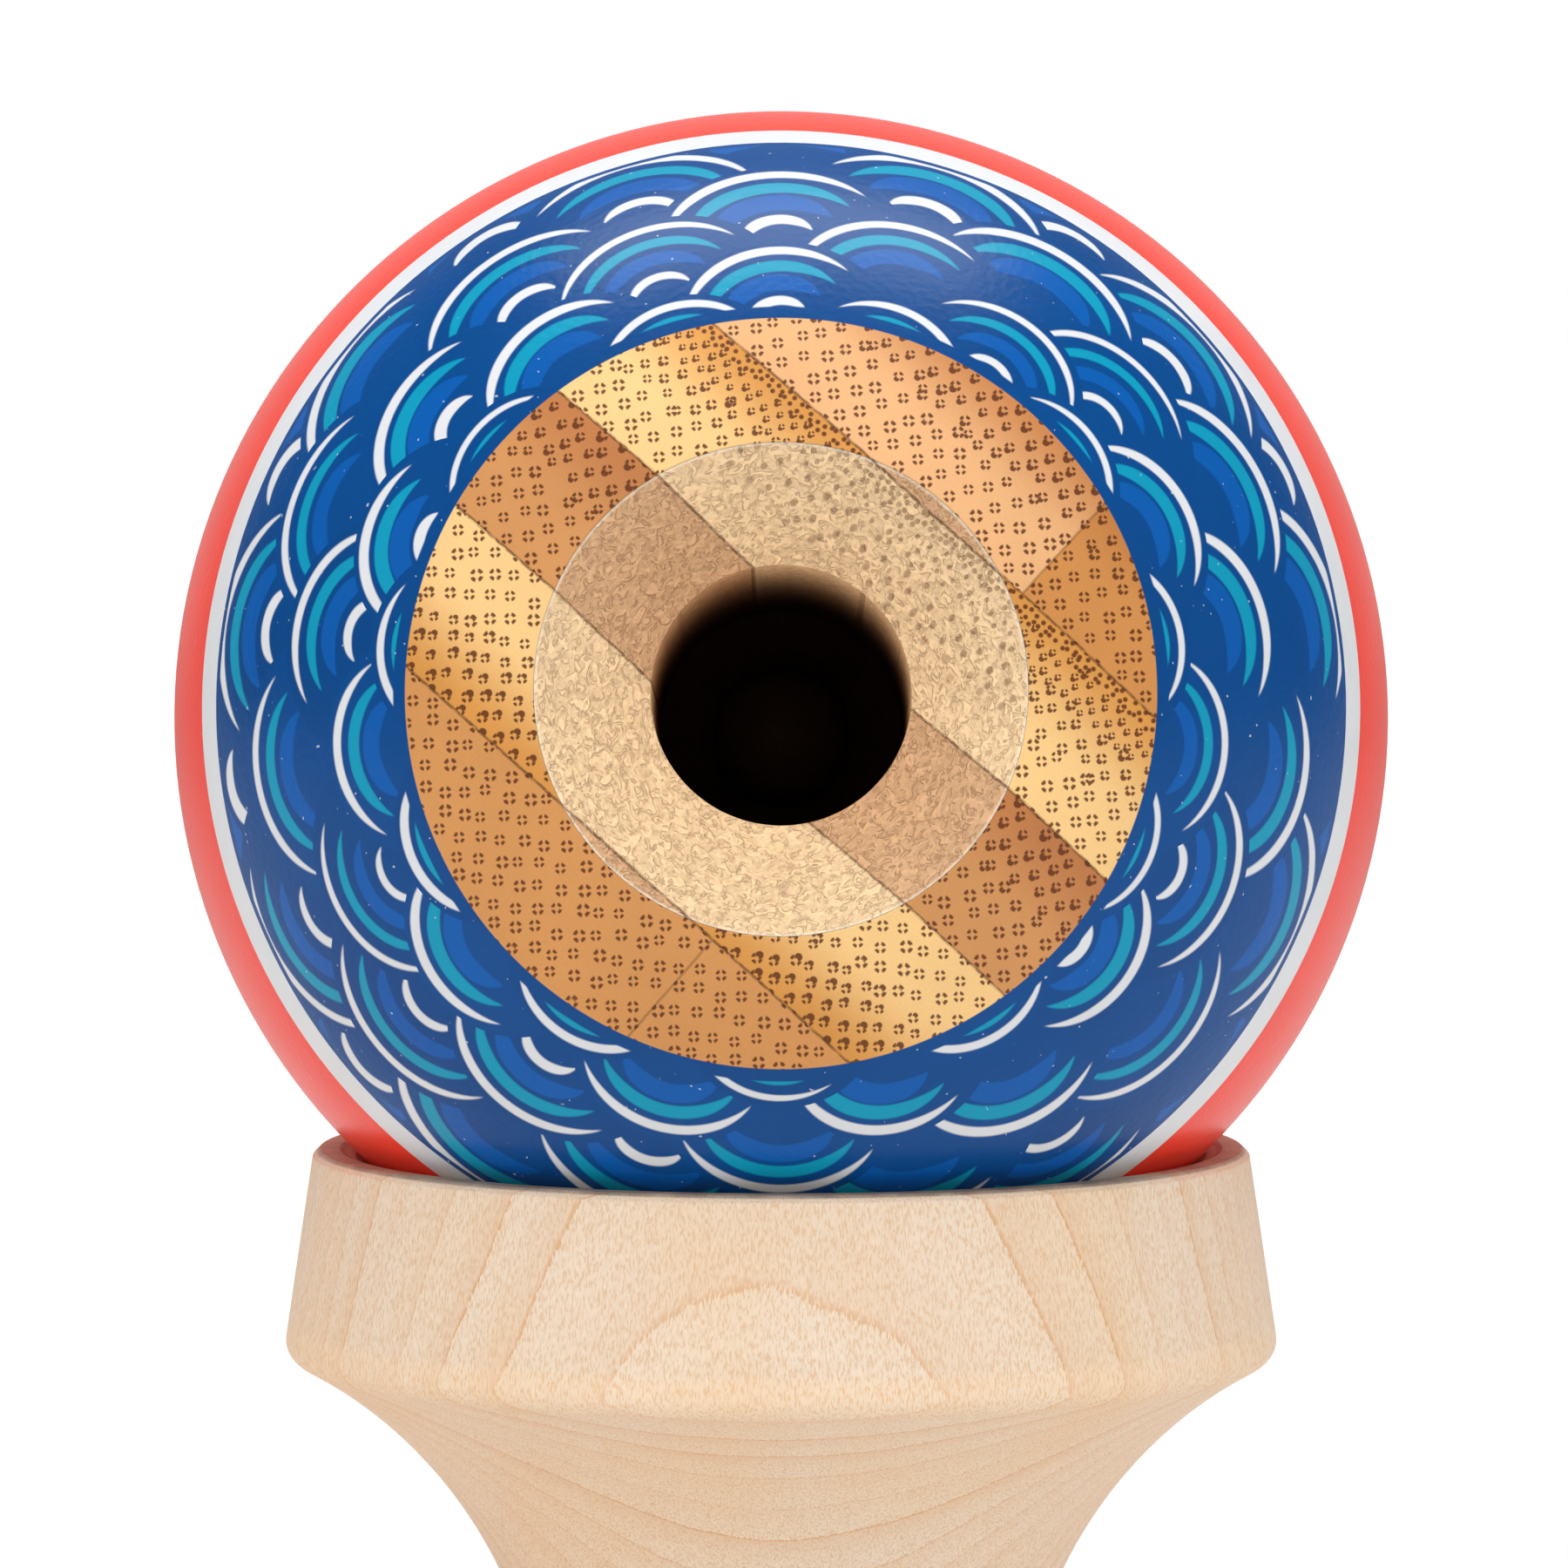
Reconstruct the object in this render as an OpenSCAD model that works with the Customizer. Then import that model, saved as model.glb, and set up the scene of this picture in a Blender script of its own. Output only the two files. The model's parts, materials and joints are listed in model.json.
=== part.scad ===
// Kendama, a wooden cup-and-ball toy. A laminated bamboo ball rests in the big cup of a turned maple
// crosspiece, and the turned maple handle is pushed through the crosspiece's waist.
// The origin is the centre of the small cup's rim, on which the toy stands.
// +Z runs up the crosspiece, +X along the handle's spike, and the ball's hole faces -Y.

/* [Ball] */
// Diameter of the ball
ball_d = 60; // [54:0.5:66]
// Diameter of the main hole, which takes the spike
hole_d = 12.3; // [10:0.1:14]
// Diameter of the bevel round the hole's mouth
bevel_d = 23.1; // [17:0.1:27]
// Angle between the bevel and the hole's axis
bevel_angle = 45; // [35:1:55]
// Included angle of the cone at the hole's end
hole_end_angle = 60; // [50:1:75]
// Wood left between the hole's end and the back of the ball
hole_end_wall = 8; // [5:0.5:12]
// Tilt of the hole above the horizontal, as the ball rests in the cup
hole_tilt = 6; // [0:1:20]

/* [Bamboo strips] */
// Thickness of one strip
strip_t = 7.2; // [6:0.1:8]
// Slope of the glue lines across the hole
strip_slope = 41.8; // [0:0.1:90]
// Distance of a side joint from the ball's middle, along the strips
side_joint = 5.4; // [2:0.1:12]

/* [String] */
// Diameter of the holes for the string
string_d = 3.4; // [2.5:0.1:4]
// Diameter of the bead in the ball
bead_d = 7; // [6:0.1:8]
// Diameter of the bead's own hole
bead_bore_d = 2.6; // [2:0.1:3]
// Gap between the bead and the cone that it sits in
bead_gap = 0.1; // [0.05:0.05:0.3]

/* [Big cup] */
// Outside diameter at the rim
big_rim_d = 46.5; // [43:0.1:48.5]
// Widest diameter, at the wall's lower edge
big_wide_d = 49.2; // [47:0.1:54]
// Height from the widest edge to the rim
big_wall_h = 9.5; // [7:0.1:14]

/* [Small cup] */
// Outside diameter at the rim
small_rim_d = 42.6; // [39:0.1:44.5]
// Widest diameter, at the wall's edge
small_wide_d = 45; // [43:0.1:49]
// Height from the rim to the widest edge
small_wall_h = 8.6; // [7:0.1:12]

/* [Cups] */
// Width of a lip, with its chamfers
lip_w = 1.7; // [1.3:0.1:2.5]
// Chamfer on both edges of a lip
lip_chamfer = 0.35; // [0.2:0.05:0.5]
// Rounding of the widest edges
edge_round = 1.2; // [0.6:0.1:2]
// Angle between the seat in a crosspiece cup and the cup's axis
seat_angle = 50; // [44:1:60]
// Diameter of the dish at the bottom of a cup
dish_d = 24; // [18:0.5:28]
// Gap between the ball and its seat
seat_gap = 0.15; // [0.05:0.05:0.3]

/* [Crosspiece] */
// Diameter of the waist
waist_d = 23.6; // [21:0.1:28]
// Height of the waist's straight stretch
waist_h = 10; // [6:0.5:14]
// Radius of the coves between the waist and the cups
cove_r = 23.2; // [20:0.1:28]

/* [Handle] */
// Diameter in the middle of the crosspiece
seat_d = 16.4; // [14:0.1:17.4]
// Slope of the tapered seat on each side of the axis
seat_taper = 2; // [1:0.1:3]
// Clearance between the tapered seat and its hole, on each side
seat_clearance = 0.04; // [0.02:0.01:0.1]
// Length of the spike beyond the tapered seat
spike_len = 62; // [50:1:70]
// Diameter of the spike's round tip
tip_d = 5.5; // [4:0.1:7]
// Gap between the grip's shoulder and the crosspiece
shoulder_gap = 0.8; // [0.4:0.1:2]
// Chamfer on the shoulder
shoulder_chamfer = 0.6; // [0.3:0.1:1]
// Diameter of the grip's swell
swell_d = 20.4; // [19:0.1:24]
// Distance from the shoulder to the swell
swell_at = 13; // [8:0.5:16]
// Radius of the swell's curve
swell_curve = 160; // [120:5:220]
// Smallest diameter of the grip
grip_d = 17.6; // [16:0.1:18.6]
// Radius of the flare between the grip and the base cup
flare_r = 28; // [24:0.5:34]

/* [Base cup] */
// Outside diameter at the rim
base_rim_d = 38.8; // [36:0.1:40.5]
// Widest diameter, at the wall's edge
base_wide_d = 41; // [39:0.1:45]
// Height from the rim to the widest edge
base_wall_h = 9.5; // [7:0.1:12]
// Angle between the seat in the base cup and the cup's axis
base_seat_angle = 56; // [50:1:62]
// Diameter of the dish at the bottom of the base cup
base_dish_d = 20; // [16:0.5:24]

/* [Hidden] */
$fn = 96;
maple = [0.92, 0.84, 0.75];
straw = [0.93, 0.76, 0.50];
caramel = [0.83, 0.60, 0.36];
bead_wood = [0.36, 0.24, 0.16];

// How far a cutting shape runs past what it cuts
beyond = 1;
// How far one stretch of a turned outline runs on inside the next
overlap = 1;
// How deep touching curves bite into each other, so that they cross and leave no sliver
bite = 0.005;

// The turned edges are circles that touch their neighbours, so each height follows from the touching circles.
// A circle at radius edge_r, of radius round, touches a cove at this distance from the cove's narrowest height.
function cove_reach(narrow_r, cove, edge_r, round) =
    sqrt(pow(cove + round, 2) - pow(narrow_r + cove - edge_r, 2));
// The radius of a cove at some height from its narrowest stretch
function cove_radius(narrow_r, cove, height) = narrow_r + cove - sqrt(cove * cove - height * height);
// A point on a circle
function on_circle(centre, radius, angle) = centre + radius * [cos(angle), sin(angle)];
// The point where a line from p touches a circle's outer side
function touch(p, centre, radius) = on_circle(centre, radius,
    atan2(p.y - centre.y, p.x - centre.x) - sign(p.y - centre.y) * acos(radius / norm(p - centre)));

// Crosspiece, from the small cup's rim at 0 upwards
waist_r = waist_d / 2;
small_edge = [small_wide_d / 2 - edge_round, small_wall_h];
waist_low = small_edge.y + cove_reach(waist_r, cove_r, small_edge.x, edge_round);
waist_top = waist_low + waist_h;
waist_mid = (waist_low + waist_top) / 2;
big_edge_r = big_wide_d / 2 - edge_round;
big_edge = [big_edge_r, waist_top + cove_reach(waist_r, cove_r, big_edge_r, edge_round)];
big_rim_z = big_edge.y + big_wall_h;

// Ball: its centre lies where it clears the big cup's seat by the gap
ball_r = ball_d / 2;
hole_r = hole_d / 2;
string_r = string_d / 2;
big_lip_r = big_rim_d / 2 - lip_w;
ball_z = big_rim_z + (ball_r + seat_gap - big_lip_r * cos(seat_angle)) / sin(seat_angle);
bevel_z = sqrt(ball_r * ball_r - bevel_d * bevel_d / 4) - (bevel_d / 2 - hole_r) / tan(bevel_angle);
hole_end_z = hole_end_wall - ball_r;
hole_cone_z = hole_end_z + (hole_r - string_r) / tan(hole_end_angle / 2);
bead_z = hole_end_z - string_r / tan(hole_end_angle / 2) + (bead_d / 2 + bead_gap) / sin(hole_end_angle / 2);

// Strips: layers are counted from the middle one outwards, and the outermost two take what is left of the ball,
// which is between half a strip and one and a half
last_layer = floor(ball_r / strip_t);
LAYERS = [0, for (n = [1 : last_layer]) each [-n, n]];
// Layers that are made of two strips side by side
split_layer = 2;
STRIPS = [
    for (layer = LAYERS)
        for (side = abs(layer) == split_layer ? [-1, 1] : [0]) [layer, side]
];

// Handle, along X from the middle of the crosspiece
swell_r = swell_d / 2;
grip_r = grip_d / 2;
tip_r = tip_d / 2;
seat_x = cove_radius(waist_r, cove_r, max(swell_r - waist_h / 2, 0)) + shoulder_gap;
function seat_r(x) = seat_d / 2 - x * tan(seat_taper);
tip_x = seat_x + spike_len - tip_r;
tip_touch = touch([seat_r(seat_x), seat_x], [0, tip_x], tip_r - bite);
swell_x = -seat_x - swell_at;
swell_centre = [swell_r - swell_curve, swell_x];
shoulder_r = swell_centre.x + sqrt(swell_curve * swell_curve - swell_at * swell_at) - shoulder_chamfer;
flare_centre_r = grip_r + flare_r;
grip_x = swell_x - sqrt(pow(swell_curve + flare_r, 2) - pow(flare_centre_r - swell_centre.x, 2));
swell_end_x = swell_x + (grip_x - swell_x) * swell_curve / (swell_curve + flare_r);
base_edge_r = base_wide_d / 2 - edge_round;
base_edge = [base_edge_r, grip_x - cove_reach(grip_r, flare_r, base_edge_r, edge_round)];
base_rim_x = base_edge.y - base_wall_h;

// Stretches of a turned outline, given as radius and height, from the axis outwards

// A stretch with straight sides through these points
module straight(points) {
    polygon(concat([[0, points[0].y]], points, [[0, points[len(points) - 1].y]]));
}

// A hollow stretch, narrowest at narrow_z
module cove(low, high, narrow_r, narrow_z, radius) {
    difference() {
        translate([0, low]) square([narrow_r + radius, high - low]);
        translate([narrow_r + radius, narrow_z]) circle(radius);
    }
}

// Half of a circle on the axis
module half_circle(z, radius) {
    intersection() {
        translate([0, z]) circle(radius);
        translate([0, z - radius - beyond]) square([radius + beyond, 2 * (radius + beyond)]);
    }
}

// The wall of a cup that opens upwards, on a cove: a rounded widest edge, a leaning wall and a chamfered lip
module cup_wall(edge, rim, cove_low, narrow_r, narrow_z, radius) {
    down = atan2(narrow_z - edge.y, narrow_r + radius - edge.x);
    cove_high = on_circle(edge, edge_round, down).y;
    tuck = edge_round / 5;
    lip = [rim.x, rim.y - lip_chamfer];
    cove(cove_low, cove_high, narrow_r - bite, narrow_z, radius);
    translate(edge) circle(edge_round);
    straight([
        [edge.x, cove_high - tuck],
        edge,
        touch(lip, edge, edge_round - bite),
        lip,
        [rim.x - lip_chamfer, rim.y]
    ]);
}

// The inside of a cup that opens upwards: a chamfered lip, a sloping seat and a round dish that runs on from it
module cup_inside(rim, angle, dish_r) {
    lip_r = rim.x - lip_w;
    dish_z = rim.y - (lip_r - dish_r) / tan(angle);
    dish_curve = dish_r / cos(angle);
    straight([
        [dish_r, dish_z],
        [lip_r - lip_chamfer * tan(angle), rim.y - lip_chamfer],
        [lip_r + lip_chamfer, rim.y],
        [lip_r + lip_chamfer, rim.y + beyond]
    ]);
    intersection() {
        half_circle(dish_z + dish_curve * sin(angle), dish_curve + bite);
        translate([0, dish_z - dish_curve]) square([2 * dish_curve, dish_curve + overlap]);
    }
}

// A cone along the handle with the tapered seat's slope, grown by the gap
module seat_cone(gap) {
    rotate([0, 90, 0])
        translate([0, 0, -seat_x])
            cylinder(h = 2 * seat_x, r1 = seat_r(-seat_x) + gap, r2 = seat_r(seat_x) + gap);
}

// The straight way of the string through the crosspiece and the handle
module string_way() {
    rotate([90, 0, 0]) cylinder(h = 2 * seat_x, r = string_r, center = true);
}

module crosspiece_outline() {
    cup_wall(big_edge, [big_rim_d / 2, big_rim_z], waist_top, waist_r, waist_top, cove_r);
    straight([[waist_r, waist_low - overlap], [waist_r, waist_top + overlap]]);
    mirror([0, 1]) {
        small_edge_down = [small_edge.x, -small_edge.y];
        cup_wall(small_edge_down, [small_rim_d / 2, 0], -waist_low, waist_r, -waist_low, cove_r);
    }
}

module sarado_crosspiece() {
    color(maple) difference() {
        rotate_extrude() difference() {
            crosspiece_outline();
            cup_inside([big_rim_d / 2, big_rim_z], seat_angle, dish_d / 2);
            mirror([0, 1]) cup_inside([small_rim_d / 2, 0], seat_angle, dish_d / 2);
        }
        translate([0, 0, waist_mid]) {
            seat_cone(seat_clearance);
            string_way();
        }
    }
}

// Half of the handle's section, with the outline's height along the handle
module handle_outline() {
    mirror([0, 1]) {
        base_edge_down = [base_edge.x, -base_edge.y];
        cup_wall(base_edge_down, [base_rim_d / 2, -base_rim_x], -swell_end_x, grip_r, -grip_x, flare_r);
    }
    // The swell, up to its chamfered shoulder
    intersection() {
        translate(swell_centre) circle(swell_curve);
        straight([
            [swell_d, swell_end_x - overlap],
            [swell_d, shoulder_r - swell_d - seat_x],
            [shoulder_r, -seat_x]
        ]);
    }
    // The tapered seat and the spike
    straight([
        [seat_r(-seat_x), -seat_x - overlap],
        [seat_r(-seat_x), -seat_x],
        [seat_r(seat_x), seat_x],
        tip_touch
    ]);
    half_circle(tip_x, tip_r);
}

module ken_handle() {
    color(maple) translate([0, 0, waist_mid]) difference() {
        rotate([0, 90, 0]) rotate_extrude() difference() {
            handle_outline();
            mirror([0, 1]) cup_inside([base_rim_d / 2, -base_rim_x], base_seat_angle, base_dish_d / 2);
        }
        string_way();
    }
}

// Puts what is made round the hole's axis into the ball's place, with the hole's mouth towards -Y
module in_ball() {
    translate([0, 0, ball_z]) rotate([90 - hole_tilt, 0, 0]) children();
}

// The turned and drilled ball, with its hole along Z
module drilled_ball() {
    top = ball_r + beyond;
    rotate_extrude() difference() {
        intersection() {
            circle(ball_r);
            translate([0, -top]) square([top, 2 * top]);
        }
        polygon([
            [0, -top],
            [string_r, -top],
            [string_r, hole_end_z],
            [hole_r, hole_cone_z],
            [hole_r, bevel_z],
            [hole_r + (top - bevel_z) * tan(bevel_angle), top],
            [0, top]
        ]);
    }
}

// The room of one strip in the laminated block, with the hole along Z and the strips along X
module strip_room(layer, side) {
    far = ball_r + beyond;
    low = layer == -last_layer ? -far : (layer - 0.5) * strip_t;
    high = layer == last_layer ? far : (layer + 0.5) * strip_t;
    left = side > 0 ? side_joint : -far;
    right = side < 0 ? side_joint : far;
    translate([left, low, -far]) cube([right - left, high - low, 2 * far]);
}

module tama_strip(i) {
    layer = STRIPS[i - 1][0];
    side = STRIPS[i - 1][1];
    // The drilled ball is round about its hole, so it can be turned until its seam lies away from the strip
    seam_turn = layer > 0 ? 180 : 0;
    color(layer % 2 == 0 ? caramel : straw) in_ball() rotate([0, 0, -strip_slope]) intersection() {
        rotate([0, 0, seam_turn]) drilled_ball();
        strip_room(layer, side);
    }
}

// With no string through it the bead lies loose in the hole's cone, with its own hole across
module bead() {
    color(bead_wood) in_ball() translate([0, 0, bead_z]) rotate([0, 90, 0]) difference() {
        sphere(d = bead_d);
        cylinder(h = 2 * bead_d, d = bead_bore_d, center = true);
    }
}

sarado_crosspiece();
ken_handle();
bead();
for (i = [1 : len(STRIPS)])
    tama_strip(i);
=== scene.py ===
"""Kendama, a wooden cup-and-ball toy, dressed for pictures around its packed model.

The ball is a block of glued bamboo strips, turned, drilled and painted. It rests in the big cup of a
turned maple crosspiece, and a turned maple handle is pushed through the crosspiece's waist.
Lengths are in metres and in the packed model's own frame. Patterns in the materials are sized in
millimetres.
"""

import json
import math

import bmesh
import bpy
from bpy.props import FloatProperty, FloatVectorProperty, IntProperty, PointerProperty
from mathutils import Matrix, Vector


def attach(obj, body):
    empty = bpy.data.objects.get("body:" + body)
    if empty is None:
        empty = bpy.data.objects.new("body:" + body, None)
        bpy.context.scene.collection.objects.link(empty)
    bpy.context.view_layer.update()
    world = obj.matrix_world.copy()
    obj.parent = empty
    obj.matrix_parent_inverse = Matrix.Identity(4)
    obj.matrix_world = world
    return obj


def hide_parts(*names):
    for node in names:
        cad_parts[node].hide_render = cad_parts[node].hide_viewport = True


bl_info = {
    "name": "Kendama",
    "version": (1, 0, 0),
    "blender": (4, 5, 0),
    "location": "3D View > Sidebar > Kendama",
    "description": "Builds a kendama with a laminated bamboo ball around its packed model",
    "category": "Object",
}

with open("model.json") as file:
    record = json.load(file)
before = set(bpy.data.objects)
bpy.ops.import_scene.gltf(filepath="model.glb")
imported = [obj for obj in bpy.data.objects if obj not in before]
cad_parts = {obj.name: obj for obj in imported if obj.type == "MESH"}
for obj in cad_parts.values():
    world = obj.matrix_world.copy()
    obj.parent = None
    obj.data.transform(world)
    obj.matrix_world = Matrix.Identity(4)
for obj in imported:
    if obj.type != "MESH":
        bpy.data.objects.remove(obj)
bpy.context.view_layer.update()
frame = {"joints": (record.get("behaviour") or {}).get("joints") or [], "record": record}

MM = 0.001
MOUNTS = {mount["name"]: mount for mount in frame["record"]["mounts"]}
JOINTS = {joint["name"]: joint for joint in frame["joints"]}
BALL_CENTRE = Vector(JOINTS["tama_spin"]["pos_m"])
HOLE_AXIS = Vector(JOINTS["tama_spin"]["axis"]).normalized()
TO_HANDLE = Matrix.Translation((0, 0, MOUNTS["base_rim"]["pos_m"][2]))
ALONG_HANDLE = TO_HANDLE @ Matrix.Rotation(math.pi / 2, 4, "Y")
ACROSS_HANDLE = TO_HANDLE @ Matrix.Rotation(math.pi / 2, 4, "X")
# Layers of the ball are counted from the middle one, which is 0, and below it with a minus sign
# The layers of this number, above and below, have two strips side by side
SPLIT_LAYER = 2
# This layer has the densest wood, from next to the bamboo's skin
SKIN_LAYER = 1


def srgb(red, green, blue):
    """A colour given in 0 to 255, as a shader's colour."""

    def linear(part):
        part /= 255
        return part / 12.92 if part <= 0.04045 else ((part + 0.055) / 1.055) ** 2.4

    return (linear(red), linear(green), linear(blue))


def bore(mount):
    """The radius of a bored mount."""
    return MOUNTS[mount]["dims"]["r_mm"] * MM


def length(name, description, default):
    return FloatProperty(
        name=name, description=description, default=default, unit="LENGTH", min=0, precision=5
    )


def angle(name, description, degrees):
    return FloatProperty(
        name=name, description=description, default=math.radians(degrees), subtype="ANGLE", min=0
    )


def colour(name, description, *parts):
    return FloatVectorProperty(
        name=name, description=description, default=srgb(*parts), subtype="COLOR", size=3, min=0, max=1
    )


def power(name, description, watts):
    return FloatProperty(name=name, description=description, default=watts, unit="POWER", min=0)


class KendamaBall(bpy.types.PropertyGroup):
    """Sizes of the ball, its strips and its bead"""

    radius: length("Radius", "Radius of the ball", 30 * MM)
    hole_radius: length("Hole radius", "Radius of the main hole", bore("ball_hole"))
    bevel_radius: length("Bevel radius", "Outer radius of the bevel round the hole's mouth", 11.55 * MM)
    bevel_angle: angle("Bevel angle", "Angle between the bevel and the hole's axis", 45)
    end_wall: length("End wall", "Wood between the hole's end and the back of the ball", 8 * MM)
    end_angle: angle("End angle", "Included angle of the cone at the hole's end", 60)
    string_radius: length("String hole radius", "Radius of the string holes", bore("string_hole"))
    strip: length("Strip thickness", "Thickness of one bamboo strip", 7.2 * MM)
    slope: angle("Strip slope", "Slope of the glue lines across the hole", 41.8)
    side_joint: length("Side joint", "Distance of a side joint from the ball's middle", 5.4 * MM)
    bead_radius: length("Bead radius", "Radius of the bead", 3.5 * MM)
    bead_bore: length("Bead bore radius", "Radius of the bead's own hole", 1.3 * MM)
    bead_gap: length("Bead gap", "Gap between the bead and the cone that it sits in", 0.1 * MM)


class KendamaPaint(bpy.types.PropertyGroup):
    """Layout and colours of the ball's paint"""

    window: angle("Window", "Half angle of the bare bamboo window, seen from the ball's middle", 36)
    border: angle("Border", "Half angle of the white border's outer edge", 69)
    border_width: angle("Border width", "Width of the white border", 3.9)
    scales: IntProperty(name="Scales", description="Number of scales round the ring", default=11, min=3)
    navy: colour("Navy", "Ground of the ring", 0, 74, 142)
    royal: colour("Royal blue", "Broad strokes of the scales", 0, 92, 176)
    teal: colour("Teal", "Middle strokes of the scales", 2, 152, 186)
    white: colour("White", "Thin strokes and the border", 224, 226, 229)
    red: colour("Red", "Back of the ball", 250, 62, 42)


class KendamaCrosspiece(bpy.types.PropertyGroup):
    """Sizes of the crosspiece and of the lips of all cups"""

    big_rim: length("Big rim radius", "Outside radius of the big cup's rim", 23.25 * MM)
    big_wide: length("Big widest radius", "Widest radius of the big cup", 24.6 * MM)
    big_wall: length("Big wall", "Height of the big cup's wall", 9.5 * MM)
    small_rim: length("Small rim radius", "Outside radius of the small cup's rim", 21.3 * MM)
    small_wide: length("Small widest radius", "Widest radius of the small cup", 22.5 * MM)
    small_wall: length("Small wall", "Height of the small cup's wall", 8.6 * MM)
    waist: length("Waist radius", "Radius of the waist", 11.8 * MM)
    waist_height: length("Waist height", "Height of the waist's straight stretch", 10 * MM)
    cove: length("Cove radius", "Radius of the coves between the waist and the cups", 23.2 * MM)
    seat_angle: angle("Seat angle", "Angle between a cup's seat and its axis", 50)
    dish: length("Dish radius", "Radius of the dish at the bottom of a cup", 12 * MM)
    lip: length("Lip width", "Width of a lip with its chamfers", 1.7 * MM)
    chamfer: length("Lip chamfer", "Chamfer on both edges of a lip", 0.35 * MM)
    edge: length("Edge rounding", "Rounding of the widest edges", 1.2 * MM)


class KendamaHandle(bpy.types.PropertyGroup):
    """Sizes of the handle"""

    seat: length("Seat radius", "Radius in the middle of the crosspiece", 8.2 * MM)
    taper: angle("Seat taper", "Slope of the tapered seat on each side of the axis", 2)
    clearance: length("Seat clearance", "Clearance between the seat and its hole", 0.04 * MM)
    half_seat: length("Half seat", "Distance of the shoulder from the crosspiece's axis", 13.1903 * MM)
    spike: length("Spike", "Length of the spike beyond the seat", 62 * MM)
    tip: length("Tip radius", "Radius of the spike's round tip", 2.75 * MM)
    swell: length("Swell radius", "Radius of the grip's swell", 10.2 * MM)
    swell_at: length("Swell place", "Distance from the shoulder to the swell", 13 * MM)
    swell_curve: length("Swell curve", "Radius of the swell's curve along the grip", 160 * MM)
    grip: length("Grip radius", "Smallest radius of the grip", 8.8 * MM)
    flare: length("Flare radius", "Radius of the flare between the grip and the base cup", 28 * MM)
    base_rim: length("Base rim radius", "Outside radius of the base cup's rim", 19.4 * MM)
    base_wide: length("Base widest radius", "Widest radius of the base cup", 20.5 * MM)
    base_wall: length("Base wall", "Height of the base cup's wall", 9.5 * MM)
    base_seat_angle: angle("Base seat angle", "Angle between the base cup's seat and its axis", 56)
    base_dish: length("Base dish radius", "Radius of the dish at the bottom of the base cup", 10 * MM)


class KendamaFinish(bpy.types.PropertyGroup):
    """Rounding and colours of the wood"""

    softening: length("Edge softening", "Rounding of sanded edges", 0.18 * MM)
    segments: IntProperty(name="Segments", description="Faces round a turned piece", default=192, min=24)
    maple: colour("Maple", "Ground of the maple", 240, 219, 196)
    maple_warm: colour("Warm maple", "Warmer patches of the maple", 242, 210, 172)
    maple_line: colour("Maple line", "Growth lines of the maple", 222, 160, 100)
    maple_fleck: colour("Maple fleck", "Short flecks of the maple", 227, 184, 138)
    # Painted shadow line on the big cup's lip, where the ball overhangs it
    maple_rub: colour("Maple rub", "Painted shadow line on lips under the ball", 104, 84, 76)
    straw: colour("Straw bamboo", "Ground of the light strips", 250, 205, 138)
    straw_dense: colour("Dense straw bamboo", "Dense side of the light strips", 214, 142, 60)
    straw_raw: colour("Raw straw bamboo", "Bevel in the light strips", 252, 219, 174)
    brown: colour("Brown bamboo", "Ground of the middle strip", 212, 149, 91)
    brown_dense: colour("Dense brown bamboo", "Dense side of the middle strip", 188, 118, 68)
    brown_raw: colour("Raw brown bamboo", "Bevel in the middle strip", 224, 180, 138)
    caramel: colour("Caramel bamboo", "Ground of the caramel strips", 216, 151, 88)
    caramel_dense: colour("Dense caramel bamboo", "Dense side of the caramel strips", 206, 132, 66)
    salmon: colour("Salmon bamboo", "Ground of the salmon strip", 237, 180, 126)
    salmon_dense: colour("Dense salmon bamboo", "Dense side of the salmon strip", 190, 120, 66)
    umber: colour("Umber bamboo", "Ground of the umber strip", 212, 144, 78)
    umber_dense: colour("Dense umber bamboo", "Dense side of the umber strip", 184, 114, 58)
    bundle: colour("Bundle", "Fibre bundles of the bamboo", 104, 50, 18)
    glue: colour("Glue", "Glue lines between the strips", 84, 48, 26)
    bead: colour("Bead", "Ground of the bead", 92, 61, 41)


class KendamaStage(bpy.types.PropertyGroup):
    """Camera and light"""

    camera_place: FloatVectorProperty(
        name="Camera place", description="Place of the camera", default=(0.14 * MM, -0.45, 0.11603),
        subtype="TRANSLATION", unit="LENGTH", size=3
    )
    camera_pitch: angle("Camera pitch", "How far the camera looks down", 3.593)
    lens: FloatProperty(
        name="Lens", description="Focal length on a 36 mm sensor", default=208.86, unit="CAMERA", min=1
    )
    fill: FloatProperty(name="Fill", description="Strength of the even light", default=0.5, min=0)
    overhead: power("Overhead", "Power of the light overhead", 2.4)
    key: power("Key", "Power of the high front light", 2.9)
    sides: power("Sides", "Power of each side light", 0.9)
    front: power("Front", "Power of each low front light", 0.25)
    floor: FloatProperty(
        name="Floor", description="How much light the floor gives back", default=0.8, min=0, max=1
    )


# Outlines of turned pieces: radius and height, in order along the outline


def on_circle(centre, radius, turn):
    return Vector((centre[0] + radius * math.cos(turn), centre[1] + radius * math.sin(turn)))


def arc(centre, radius, start, end, step=math.radians(2.5)):
    """Points on a circle from one angle to another."""
    count = max(2, math.ceil(abs(end - start) / step))
    return [on_circle(centre, radius, start + (end - start) * i / count) for i in range(count + 1)]


def touch_angle(point, centre, radius):
    """The angle at which a line from the point touches the circle's outer side."""
    across = point[1] - centre[1]
    distance = math.hypot(point[0] - centre[0], across)
    return math.atan2(across, point[0] - centre[0]) - math.copysign(math.acos(radius / distance), across)


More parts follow.
